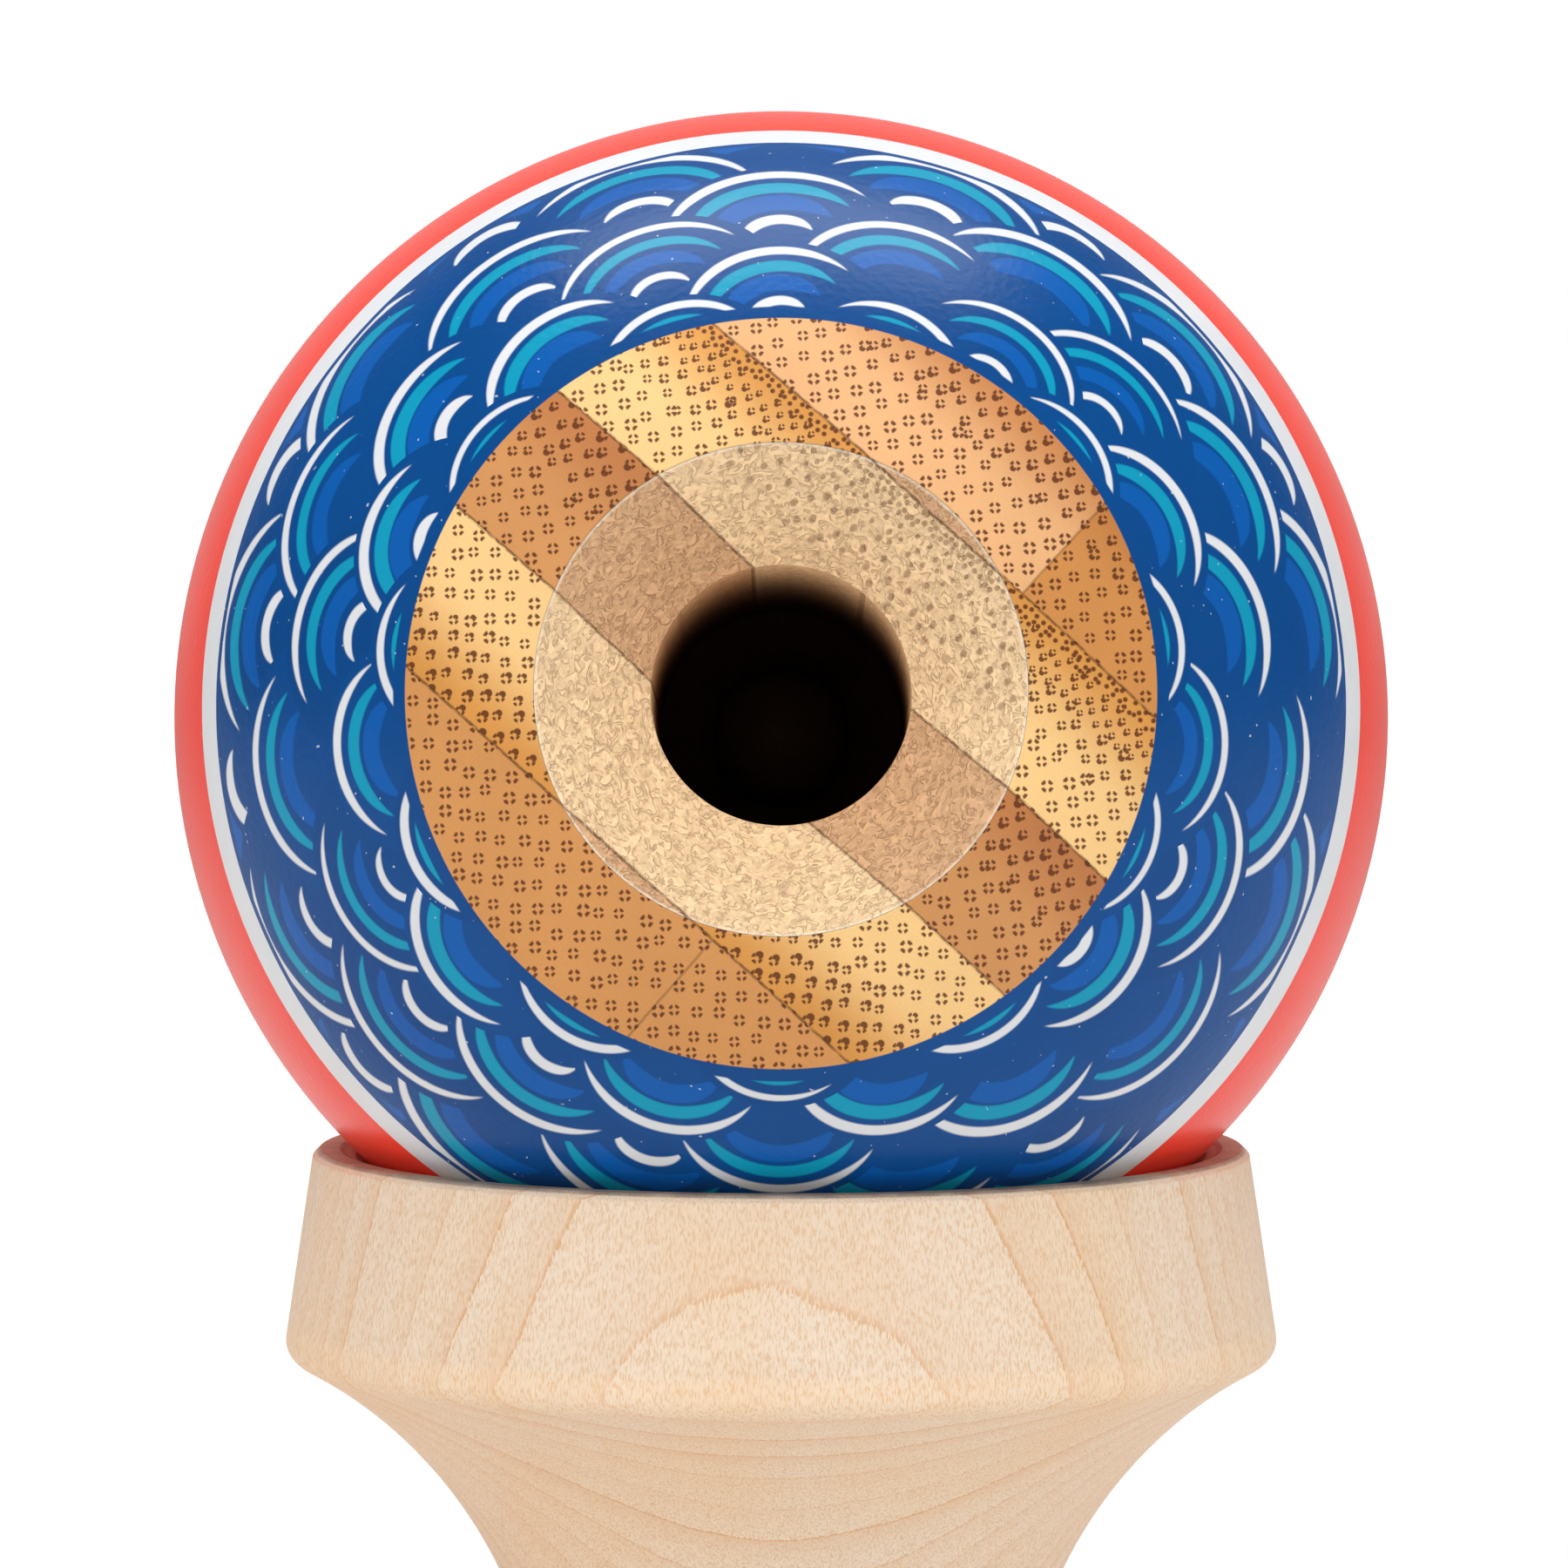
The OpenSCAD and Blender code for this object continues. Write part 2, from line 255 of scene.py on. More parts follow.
def soften(points, radius):
    """Rounds the corners of an outline, and leaves its curves."""
    least_turn = math.radians(12)
    longest_cut = 0.45
    steps = 6
    soft = [points[0]]
    for before, corner, after in zip(points, points[1:], points[2:]):
        inward = corner - before
        outward = after - corner
        turn = abs(inward.angle(outward, 0))
        if turn < least_turn:
            soft.append(corner)
            continue
        cut = min(radius * math.tan(turn / 2), longest_cut * min(inward.length, outward.length))
        start = corner - inward.normalized() * cut
        end = corner + outward.normalized() * cut
        for i in range(steps + 1):
            t = i / steps
            soft.append(start * (1 - t) ** 2 + corner * 2 * t * (1 - t) + end * t * t)
    soft.append(points[-1])
    return soft


def cove_reach(narrow, cove, edge_radius, rounding):
    """The height from a cove's narrowest place to the middle of the rounded edge that touches it."""
    return math.sqrt((cove + rounding) ** 2 - (narrow + cove - edge_radius) ** 2)


def cup_outline(sizes, rim, wide, wall, narrow, cove, seat_angle, dish):
    """Half a section of a cup that opens upwards with its rim at height 0, from the middle of its dish over
    the lip and down its outside to the cove's narrowest place. Gives the points and that place's height."""
    edge = Vector((wide - sizes.edge, -wall))
    bottom = edge.y - cove_reach(narrow, cove, edge.x, sizes.edge)
    lip = rim - sizes.lip
    seat_end = -(lip - dish) / math.tan(seat_angle)
    curve = dish / math.cos(seat_angle)
    dish_centre = (0, seat_end + curve * math.sin(seat_angle))
    outer_lip = Vector((rim, -sizes.chamfer))
    down = math.atan2(bottom - edge.y, narrow + cove - edge.x)
    points = arc(dish_centre, curve, -math.pi / 2, -seat_angle)
    points.append(Vector((lip - sizes.chamfer * math.tan(seat_angle), -sizes.chamfer)))
    points.append(Vector((lip + sizes.chamfer, 0)))
    points.append(Vector((rim - sizes.chamfer, 0)))
    points.append(outer_lip)
    points += arc(edge, sizes.edge, touch_angle(outer_lip, edge, sizes.edge), down, math.radians(6))
    points += arc((narrow + cove, bottom), cove, math.pi + down, math.pi)[1:]
    return points, bottom


def raised(points, height):
    return [Vector((p.x, p.y + height)) for p in points]


def turned_over(points, height):
    """The outline upside down with its zero at this height, in reverse order."""
    return [Vector((p.x, height - p.y)) for p in reversed(points)]


# Turned meshes


def turning_tree():
    """Geometry Nodes tree that turns an object's points, an outline in its XZ plane, about its Z axis."""
    name = "turned piece"
    if name in bpy.data.node_groups:
        return bpy.data.node_groups[name]
    tree = bpy.data.node_groups.new(name, "GeometryNodeTree")
    tree.is_modifier = True
    inputs = {"Outline": GEOMETRY, "Segments": INTEGER, "Join Distance": NUMBER, "Material": MATERIAL}
    add_sockets(tree, inputs, {"Piece": GEOMETRY})
    given = tree.nodes.new("NodeGroupInput").outputs
    columns = integer_math(tree, "ADD", given["Segments"], 1)
    size = place(tree, "GeometryNodeAttributeDomainSize", {"Geometry": given["Outline"]})
    grid = place(
        tree, "GeometryNodeMeshGrid", {"Vertices X": size.outputs["Point Count"], "Vertices Y": columns}
    )
    index = tree.nodes.new("GeometryNodeInputIndex").outputs["Index"]
    row = integer_math(tree, "DIVIDE_FLOOR", index, columns)
    column = integer_math(tree, "MODULO", index, columns)
    position = tree.nodes.new("GeometryNodeInputPosition").outputs["Position"]
    outline_point = place(
        tree, "GeometryNodeSampleIndex",
        {"Geometry": given["Outline"], "Value": position, "Index": row}, data_type="FLOAT_VECTOR"
    )
    share = place(tree, "ShaderNodeMath", {0: column, 1: given["Segments"]}, operation="DIVIDE")
    turn = place(tree, "ShaderNodeMath", {0: share.outputs[0], 1: math.tau}, operation="MULTIPLY")
    turned = place(
        tree, "ShaderNodeVectorRotate",
        {"Vector": outline_point.outputs["Value"], "Angle": turn.outputs[0]}, rotation_type="Z_AXIS"
    )
    shape = place(
        tree, "GeometryNodeSetPosition",
        {"Geometry": grid.outputs["Mesh"], "Position": turned.outputs["Vector"]}
    )
    joined = place(
        tree, "GeometryNodeMergeByDistance",
        {"Geometry": shape.outputs["Geometry"], "Distance": given["Join Distance"]}
    )
    smooth = place(tree, "GeometryNodeSetShadeSmooth", {"Geometry": joined.outputs["Geometry"]})
    real = place(tree, "GeometryNodeRealizeInstances", {"Geometry": smooth.outputs["Geometry"]})
    coated = place(
        tree, "GeometryNodeSetMaterial",
        {"Geometry": real.outputs["Geometry"], "Material": given["Material"]}
    )
    place(tree, "NodeGroupOutput", {"Piece": coated.outputs["Geometry"]})
    return tree


def integer_math(tree, operation, first, second):
    return place(tree, "FunctionNodeIntegerMath", {0: first, 1: second}, operation=operation).outputs[0]


def evaluated_mesh(piece):
    """The piece's mesh with its modifiers applied."""
    shown = piece.evaluated_get(bpy.context.evaluated_depsgraph_get())
    return bpy.data.meshes.new_from_object(shown)


def turned_piece(name, outline, material, placing):
    """A new object turned from an outline about Z and then put in place."""
    points = bpy.data.meshes.new(name + "_outline")
    points.from_pydata([(p.x, 0, p.y) for p in outline], [], [])
    piece = bpy.data.objects.new(name, points)
    bpy.context.scene.collection.objects.link(piece)
    tree = turning_tree()
    turning = piece.modifiers.new("Turning", "NODES")
    turning.node_group = tree
    values = {
        "Segments": bpy.context.scene.kendama_finish.segments,
        "Join Distance": 0.001 * MM,
        "Material": material,
    }
    for item in tree.interface.items_tree:
        if item.name in values:
            turning[item.identifier] = values[item.name]
    mesh = evaluated_mesh(piece)
    piece.modifiers.remove(turning)
    piece.data = mesh
    mesh.name = name
    bpy.data.meshes.remove(points)
    # The tree's mesh has an empty first slot, which would leave drilled faces bare
    mesh.materials.clear()
    mesh.materials.append(material)
    mesh.polygons.foreach_set("material_index", [0] * len(mesh.polygons))
    mesh.transform(placing)
    shape = bmesh.new()
    shape.from_mesh(mesh)
    bmesh.ops.recalc_face_normals(shape, faces=shape.faces)
    shape.to_mesh(mesh)
    shape.free()
    return piece


def drill(piece, outline, placing):
    """Takes a turned shape away from a piece."""
    cutter = turned_piece(piece.name + "_cutter", outline, piece.data.materials[0], placing)
    cut = piece.modifiers.new("Drilling", "BOOLEAN")
    cut.operation = "DIFFERENCE"
    cut.solver = "EXACT"
    cut.object = cutter
    old = piece.data
    mesh = evaluated_mesh(piece)
    piece.modifiers.remove(cut)
    piece.data = mesh
    bpy.data.meshes.remove(old)
    tool = cutter.data
    bpy.data.objects.remove(cutter)
    bpy.data.meshes.remove(tool)
    mesh.name = piece.name


def finish_piece(piece, body, node):
    """Shades a piece, and lets it stand for its CAD node on its body."""
    sharp_edge = math.radians(32)
    piece.data.shade_smooth()
    piece.data.set_sharp_from_angle(angle=sharp_edge)
    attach(piece, body)
    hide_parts(node)


def rod(low_radius, high_radius, reach):
    """The outline of a round cutter, straight or tapered, that reaches equally far both ways."""
    corners = ((0, -reach), (low_radius, -reach), (high_radius, reach), (0, reach))
    return [Vector(corner) for corner in corners]


# Node trees

NUMBER = "NodeSocketFloat"
INTEGER = "NodeSocketInt"
COLOUR = "NodeSocketColor"
VECTOR = "NodeSocketVector"
GEOMETRY = "NodeSocketGeometry"
MATERIAL = "NodeSocketMaterial"


def add_sockets(tree, inputs, outputs):
    """Gives a tree its inputs and outputs, from their names and kinds."""
    for label, kind in inputs.items():
        tree.interface.new_socket(label, in_out="INPUT", socket_type=kind)
    for label, kind in outputs.items():
        tree.interface.new_socket(label, in_out="OUTPUT", socket_type=kind)


def feed(tree, socket, value):
    """Links an output to a socket, or sets the socket's own value."""
    if isinstance(value, Wire):
        tree.links.new(value.socket, socket)
    elif isinstance(value, bpy.types.NodeSocket):
        tree.links.new(value, socket)
    elif socket.type == "RGBA" and len(value) == 3:
        socket.default_value = (*value, 1)
    else:
        socket.default_value = value


def place(tree, kind, inputs=None, **settings):
    """Puts a node into a tree, with its settings and its inputs."""
    node = tree.nodes.new(kind)
    for name, value in settings.items():
        setattr(node, name, value)
    for name, value in (inputs or {}).items():
        feed(tree, node.inputs[name], value)
    return node


class Wire:
    """An output in a shader tree. Sums on it place Math nodes, so that a pattern reads as a formula."""

    def __init__(self, tree, socket):
        self.tree = tree
        self.socket = socket

    def math(self, operation, *others):
        inputs = dict(enumerate((self, *others)))
        node = place(self.tree, "ShaderNodeMath", inputs, operation=operation)
        return Wire(self.tree, node.outputs[0])

    def __add__(self, other):
        return self.math("ADD", other)

    def __sub__(self, other):
        return self.math("SUBTRACT", other)

    def __rsub__(self, other):
        return self.math("MULTIPLY_ADD", -1.0, other)

    def __mul__(self, other):
        return self.math("MULTIPLY", other)

    def __truediv__(self, other):
        return self.math("DIVIDE", other)

    def __abs__(self):
        return self.math("ABSOLUTE")

    def rise(self, low, high):
        """0 below low, 1 above high and a smooth step between. It falls if low is above high."""
        inputs = {"Value": self, "From Min": low, "From Max": high}
        node = place(self.tree, "ShaderNodeMapRange", inputs, interpolation_type="SMOOTHSTEP")
        return Wire(self.tree, node.outputs["Result"])

    def pick(self, yes, no):
        """yes where this is 1 and no where it is 0."""
        node = place(self.tree, "ShaderNodeMix", {0: self, 2: no, 3: yes})
        return Wire(self.tree, node.outputs[0])

    def dot(self, direction):
        inputs = {0: self, 1: tuple(direction)}
        node = place(self.tree, "ShaderNodeVectorMath", inputs, operation="DOT_PRODUCT")
        return Wire(self.tree, node.outputs["Value"])

    def moved(self, offset):
        node = place(self.tree, "ShaderNodeVectorMath", {0: self, 1: tuple(offset)}, operation="ADD")
        return Wire(self.tree, node.outputs[0])

    def scaled(self, *factors):
        node = place(self.tree, "ShaderNodeVectorMath", {0: self, 1: factors}, operation="MULTIPLY")
        return Wire(self.tree, node.outputs[0])

    def parts(self):
        node = place(self.tree, "ShaderNodeSeparateXYZ", {0: self})
        return [Wire(self.tree, socket) for socket in node.outputs]


def vector(*parts):
    """A vector of outputs or numbers, at least one of which is an output."""
    tree = next(part.tree for part in parts if isinstance(part, Wire))
    node = place(tree, "ShaderNodeCombineXYZ", dict(enumerate(parts)))
    return Wire(tree, node.outputs[0])


def hypot(first, second):
    return (first * first + second * second).math("SQRT")


def highest(found, *others):
    """The highest of several values."""
    for other in others:
        found = found.math("MAXIMUM", other)
    return found


def noise(place_at, size, detail=2.0, roughness=0.5, distortion=0.0, dimensions="3D"):
    """Noise of about 0 to 1 whose blots are of this size."""
    inputs = {
        "Scale": 1 / size,
        "Detail": detail,
        "Roughness": roughness,
        "Distortion": distortion,
        "W" if dimensions == "1D" else "Vector": place_at,
    }
    node = place(place_at.tree, "ShaderNodeTexNoise", inputs, noise_dimensions=dimensions)
    return Wire(place_at.tree, node.outputs[0])


def cells(place_at, size, randomness):
    """Cells of about this size in a plane: the nearest cell's middle, and three random numbers for it."""
    inputs = {"Vector": place_at, "Scale": 1 / size, "Randomness": randomness}
    node = place(place_at.tree, "ShaderNodeTexVoronoi", inputs, voronoi_dimensions="2D", feature="F1")
    return Wire(place_at.tree, node.outputs["Position"]), Wire(place_at.tree, node.outputs["Color"])


def mixed(factor, first, second):
    """The first colour where the factor is 0, and the second where it is 1."""
    node = place(factor.tree, "ShaderNodeMix", {0: factor, 6: first, 7: second}, data_type="RGBA")
    return Wire(factor.tree, node.outputs[2])


def toned(tint, amount):
    """A colour made lighter or darker by a factor of about 1."""
    node = place(tint.tree, "ShaderNodeVectorMath", {0: tint, 3: amount}, operation="SCALE")
    return Wire(tint.tree, node.outputs[0])


def shader_group(name, inputs, outputs):
    """A new node group: its tree, its inputs by name, and the sockets that take its outputs."""
    tree = bpy.data.node_groups.new(name, "ShaderNodeTree")
    add_sockets(tree, inputs, outputs)
    source = tree.nodes.new("NodeGroupInput")
    given = {label: Wire(tree, source.outputs[label]) for label in inputs}
    return tree, given, tree.nodes.new("NodeGroupOutput").inputs


def give(outputs, **values):
    """Links values to a group's outputs."""
    for name, value in values.items():
        feed(value.tree, outputs[name.replace("_", " ")], value)


def use_group(tree, maker, inputs):
    """Puts a shared group, which is made on first use, into a material and gives its outputs by name."""
    name = maker.__name__.replace("_", " ")
    group = bpy.data.node_groups.get(name) or maker(name)
    node = place(tree, "ShaderNodeGroup", node_tree=group)
    for label, value in inputs.items():
        feed(tree, node.inputs[label], value)
    return {socket.name: Wire(tree, socket) for socket in node.outputs}


# Patterns


def ball_axes():
    """Directions in the ball, seen from its hole's mouth: right, up, and along and across its strips."""
    right = Vector((1, 0, 0))
    up = HOLE_AXIS.cross(right)
    slope = bpy.context.scene.kendama_ball.slope
    along = right * math.cos(slope) - up * math.sin(slope)
    across = right * math.sin(slope) + up * math.cos(slope)
    return right, up, along, across


def ball_places(name):
    """Where a point of the ball lies, in millimetres and radians."""
    outputs = ("Along", "Across", "Out", "Radius", "Off Axis", "Polar", "Turn")
    tree, given, out = shader_group(name, {"Vector": VECTOR}, dict.fromkeys(outputs, NUMBER))
    right, up, along, across = ball_axes()
    point = given["Vector"].moved(-BALL_CENTRE).scaled(1 / MM, 1 / MM, 1 / MM)
    to_right = point.dot(right)
    to_top = point.dot(up)
    outwards = point.dot(HOLE_AXIS)
    off_axis = hypot(to_right, to_top)
    give(
        out,
        Along=point.dot(along),
        Across=point.dot(across),
        Out=outwards,
        Radius=hypot(off_axis, outwards),
        Off_Axis=off_axis,
        Polar=off_axis.math("ARCTAN2", outwards),
        Turn=to_right.math("ARCTAN2", to_top),
    )
    return tree


def bundle_rows(along, deep, wall, spacing, first_share, last_share):
    """Fibre bundles on an uneven lattice, where their middles lie between two shares of the bamboo's wall.
    They are rings of four dots, one of which grows into a drop towards the dense side. Gives the dark dots
    and the dimples."""
    unevenness = 0.34
    ring_radius = 0.21
    lattice = math.radians(35)
    cosine = math.cos(lattice)
    sine = math.sin(lattice)
    first = along * cosine - deep * sine
    second = along * sine + deep * cosine
    middle, chance = cells(vector(first, second, 0.0), spacing, unevenness)
    middle_first, middle_second, _ = middle.parts()
    share = (middle_second * cosine - middle_first * sine) / wall
    shown = (share - first_share).math("GREATER_THAN", 0.0) * (share - last_share).math("LESS_THAN", 0.0)
    growth = share.rise(0.28, 0.85)
    size = (chance.parts()[0] * 0.25 + 0.9) * spacing
    off_first = first - middle_first
    off_second = second - middle_second
    off_along = (off_first * cosine + off_second * sine) / size
    off_deep = (off_second * cosine - off_first * sine) / size
    distance = hypot(off_along, off_deep)
    # The cosine of four times the angle round a bundle is 1 at its four dots
    cosine_squared = off_along * off_along / (distance * distance + 0.0001)
    four_dots = (cosine_squared * cosine_squared - cosine_squared) * 8.0 + 1.0
    ring = abs(distance - ring_radius).rise(0.1, 0.05) * four_dots.rise(-0.75, 0.05)
    drop_place = growth * 0.06 + 0.13
    drop_radius = growth * 0.1 + 0.1
    drop = (hypot(off_along, off_deep + drop_place) - drop_radius).rise(0.03, -0.03)
    drop = drop * growth.rise(0.05, 0.3) * distance.rise(0.06, 0.12)
    dimple = hypot(off_along, off_deep * 0.8).rise(0.22, 0.1) * share.rise(0.1, 0.5)
    return highest(ring, drop) * shown, dimple * shown


def bamboo_end_grain(name):
    """Bamboo strips cut across: fibre bundles, which crowd towards each strip's dense side, and dark glue
    lines between the strips."""
    inputs = {
        "Along": NUMBER, "Across": NUMBER, "Thickness": NUMBER, "Side Joint": NUMBER,
        "Ground": COLOUR, "Dense": COLOUR, "Bundle": COLOUR,
    }
    outputs = {"Color": COLOUR, "Bundles": NUMBER, "Dimples": NUMBER, "Glue": NUMBER}
    tree, given, out = shader_group(name, inputs, outputs)
    thickness = given["Thickness"]
    layer = (given["Across"] / thickness + 0.5).math("FLOOR")
    in_layer = given["Across"] / thickness - layer
    dense_side = layer.math("GREATER_THAN", -0.5).pick(1.0, -1.0)
    deep = (in_layer * dense_side + 0.5) * thickness
    # Each layer shows another stretch of the lattice
    layer_shift = 31.7
    along = given["Along"] + layer * layer_shift
    by_skin = abs(layer - float(SKIN_LAYER)).math("LESS_THAN", 0.5)
    # The outer layers below have only the pale half of the bamboo's wall
    pale_half = layer.math("LESS_THAN", 0.5 - SPLIT_LAYER)
    wall = thickness * pale_half.pick(2.0, 1.0)
    share = deep / wall
    # Across the wall, rings give way to drops, and by the skin to small drops and then to crowded dots
    spacings = (1.0, 0.88, 0.62)
    dot_spacing = 0.36
    limits = (-0.1, by_skin.pick(0.4, 0.55), by_skin.pick(0.68, 1.1), by_skin.pick(0.9, 1.1))
    rows = [
        bundle_rows(along, deep, wall, spacing, first, last)
        for spacing, first, last in zip(spacings, limits, limits[1:])
    ]
    crowded, _ = cells(vector(along, deep, 0.0), dot_spacing, 0.7)
    crowded_along, crowded_deep, _ = crowded.parts()
    dots = hypot(along - crowded_along, deep - crowded_deep).rise(0.15, 0.08)
    dots = dots * (crowded_deep / wall - limits[-1]).math("GREATER_THAN", -0.02)
    bundles = highest(*(marks for marks, _ in rows), dots)
    tint = noise(vector(along, deep, layer), 5.0, detail=3.0)
    fibres = noise(vector(along, deep, layer), 0.11, detail=1.0)
    ground = mixed(share.rise(0.35, 1.0) * 0.9, given["Ground"], given["Dense"])
    ground = toned(ground, (tint - 0.5) * 0.22 + (fibres - 0.5) * 0.12 + 1.0)
    coloured = mixed(bundles * 0.93, ground, given["Bundle"])
    wobble = (noise(vector(along, deep, layer), 0.5) - 0.5) * 0.08
    edge = abs(in_layer) * thickness - thickness * 0.5 + wobble
    gaps = noise(vector(along, deep, layer), 0.42, detail=1.0).rise(0.36, 0.56)
    glue = edge.rise(-0.11, -0.03) * (gaps * 0.55 + 0.45)
    split = abs(abs(layer) - float(SPLIT_LAYER)).math("LESS_THAN", 0.5)
    side_glue = abs(given["Along"] - given["Side Joint"] + wobble).rise(0.09, 0.03) * split * 0.55
    dimples = highest(*(hollows for _, hollows in rows), dots) * by_skin.pick(1.0, 0.3)
    give(out, Color=coloured, Bundles=bundles, Dimples=dimples, Glue=highest(glue, side_glue))
    return tree


def torn_bevel(name):
    """Raw drilled bamboo: short torn fibres, dimples at the bundles, painted shade in the cracks, a painted
    highlight along the bevel's outer edge, and painted shade down the hole.
    """
    inputs = {
        "Vector": VECTOR, "Raw": COLOUR, "Bundle": COLOUR, "Dimples": NUMBER, "Edge Depth": NUMBER,
        "Hole Depth": NUMBER,
    }
    tree, given, out = shader_group(name, inputs, {"Color": COLOUR, "Height": NUMBER})
    edge_highlight_colour = (1.0, 0.9, 0.74)
    painted_hole_shade = (0.1, 0.04, 0.02)
    dark_depth = 32.0
    curls = noise(given["Vector"], 0.62, detail=1.0, distortion=1.6)
    broken = noise(given["Vector"], 0.4, detail=0.0)
    crumbs = noise(given["Vector"], 0.16, detail=1.0)
    shaded_cracks = abs(curls - 0.5).rise(0.06, 0.01) * broken.rise(0.4, 0.54)
    fibre = toned(given["Raw"], (curls - 0.5) * 0.56 + (crumbs - 0.5) * 0.34 + 1.0)
    # Painted shade in the cracks between the curls, darkened towards the bundle colour
    fibre = mixed(shaded_cracks * 0.32, fibre, given["Bundle"])
    painted_light = mixed(given["Dimples"] * 0.5, fibre, given["Bundle"])
    # A painted highlight along the bevel's outer edge
    painted_edge_highlight = given["Edge Depth"].rise(0.28, 0.1)
    painted_light = mixed(painted_edge_highlight * 0.65, painted_light, edge_highlight_colour)
    # Painted shade down the hole, darker the deeper it goes
    shade = given["Hole Depth"].rise(0.0, dark_depth)
    painted_light = mixed(shade, painted_light, painted_hole_shade)
    height = curls * 0.2 + crumbs * 0.03 - shaded_cracks * 0.04 - given["Dimples"] * 0.05
    give(out, Color=painted_light, Height=height * (1.0 - shade * 0.6))
    return tree


def scale_ring(name):
    """Paint of the ball: a ring of overlapping round scales, each with tapered strokes, between a bare window
    and a plain border. A logarithm stretches the polar angle, so that scales stay round at every radius."""
    inputs = {
        "Polar": NUMBER, "Turn": NUMBER, "Vector": VECTOR, "Window": NUMBER, "Border": NUMBER,
        "Border Width": NUMBER, "Scales": NUMBER, "Navy": COLOUR, "Royal": COLOUR, "Teal": COLOUR,
        "White": COLOUR, "Red": COLOUR,
    }
    tree, given, out = shader_group(name, inputs, {"Color": COLOUR, "Painted": NUMBER, "Height": NUMBER})
    half_widths = given["Scales"] / math.pi
    x = given["Turn"] * half_widths
    y = (given["Polar"] * 0.5).math("TANGENT").math("LOGARITHM", math.e) * half_widths
    # Rows of circles lie half a radius apart. A point belongs to the lowest circle that it lies in
    row = (y * 2.0 - 2.0).math("CEIL")
    odd = row.math("FLOORED_MODULO", 2.0)
    x_low = (x - odd).math("WRAP", 1.0, -1.0)
    y_low = y - row * 0.5
    x_next = (x_low + 1.0).math("WRAP", 1.0, -1.0)
    y_next = y_low - 0.5
    in_low = hypot(x_low, y_low).math("LESS_THAN", 1.0)
    in_next = hypot(x_next, y_next).math("LESS_THAN", 1.0)
    scale_x = in_low.pick(x_low, in_next.pick(x_next, x_low))
    scale_y = in_low.pick(y_low, in_next.pick(y_next, y_low - 1.0))
    scale_row = row + in_low.pick(0.0, in_next.pick(1.0, 2.0))
    column = (x - scale_x).math("ROUND").math("FLOORED_MODULO", given["Scales"] * 2.0)
    chance = place(tree, "ShaderNodeTexWhiteNoise", {"Vector": vector(column, scale_row, 0.0)})
    lean, wide, deep = Wire(tree, chance.outputs["Color"]).parts()
    lean = (lean - 0.5) * 0.9
    distance = hypot(scale_x, scale_y)
    facing = (scale_x * lean.math("SINE") + scale_y * lean.math("COSINE")) / (distance + 0.001)

    def stroke(radius, thick, end):
        """An arc round the scale's middle, thickest where the scale faces, that tapers to its ends."""
        half = facing.rise(end, 1.0).math("POWER", 0.6) * thick * (wide * 0.5 + 0.75)
        return (abs(distance - radius) - half).rise(0.012, -0.012) * facing.rise(end, end + 0.06)

    # Strokes keep clear of the window and of the border
    edges = (given["Polar"] - given["Window"]).rise(0.022, 0.026)
    edges = edges * (given["Border"] - given["Border Width"] - given["Polar"]).rise(0.012, 0.016)
    ring = mixed(deep * 0.5, given["Navy"], toned(given["Navy"], 0.82))
    ring = mixed(stroke(radius=0.5, thick=0.09, end=0.45) * edges * 0.9, ring, given["Royal"])
    ring = mixed(stroke(radius=0.7, thick=0.06, end=0.5) * edges, ring, given["Teal"])
    ring = mixed(stroke(radius=0.89, thick=0.042, end=0.55) * edges, ring, given["White"])
    inner = stroke(radius=0.28, thick=0.05, end=0.3) * edges * deep.math("GREATER_THAN", 0.45)
    ring = mixed(inner, ring, given["White"])
    soft = 0.0012
    in_border = (given["Polar"] - given["Border"] + given["Border Width"]).rise(-soft, soft)
    past_border = (given["Polar"] - given["Border"]).rise(-soft, soft)
    painted = mixed(in_border, ring, given["White"])
    painted = mixed(past_border, painted, given["Red"])
    mottle = noise(given["Vector"], 4.0, detail=3.0)
    painted = toned(painted, (mottle - 0.5) * 0.12 + 1.0)
    dust = noise(given["Vector"], 0.24, detail=0.0).rise(0.85, 0.87)
    painted = mixed(dust * (0.6 - in_border * 0.4), painted, given["White"])
    peel = noise(given["Vector"], 0.42, detail=1.0)
    give(
        out,
        Color=painted,
        Painted=(given["Polar"] - given["Window"]).rise(-soft, soft),
        Height=peel * 0.018,
    )
    return tree


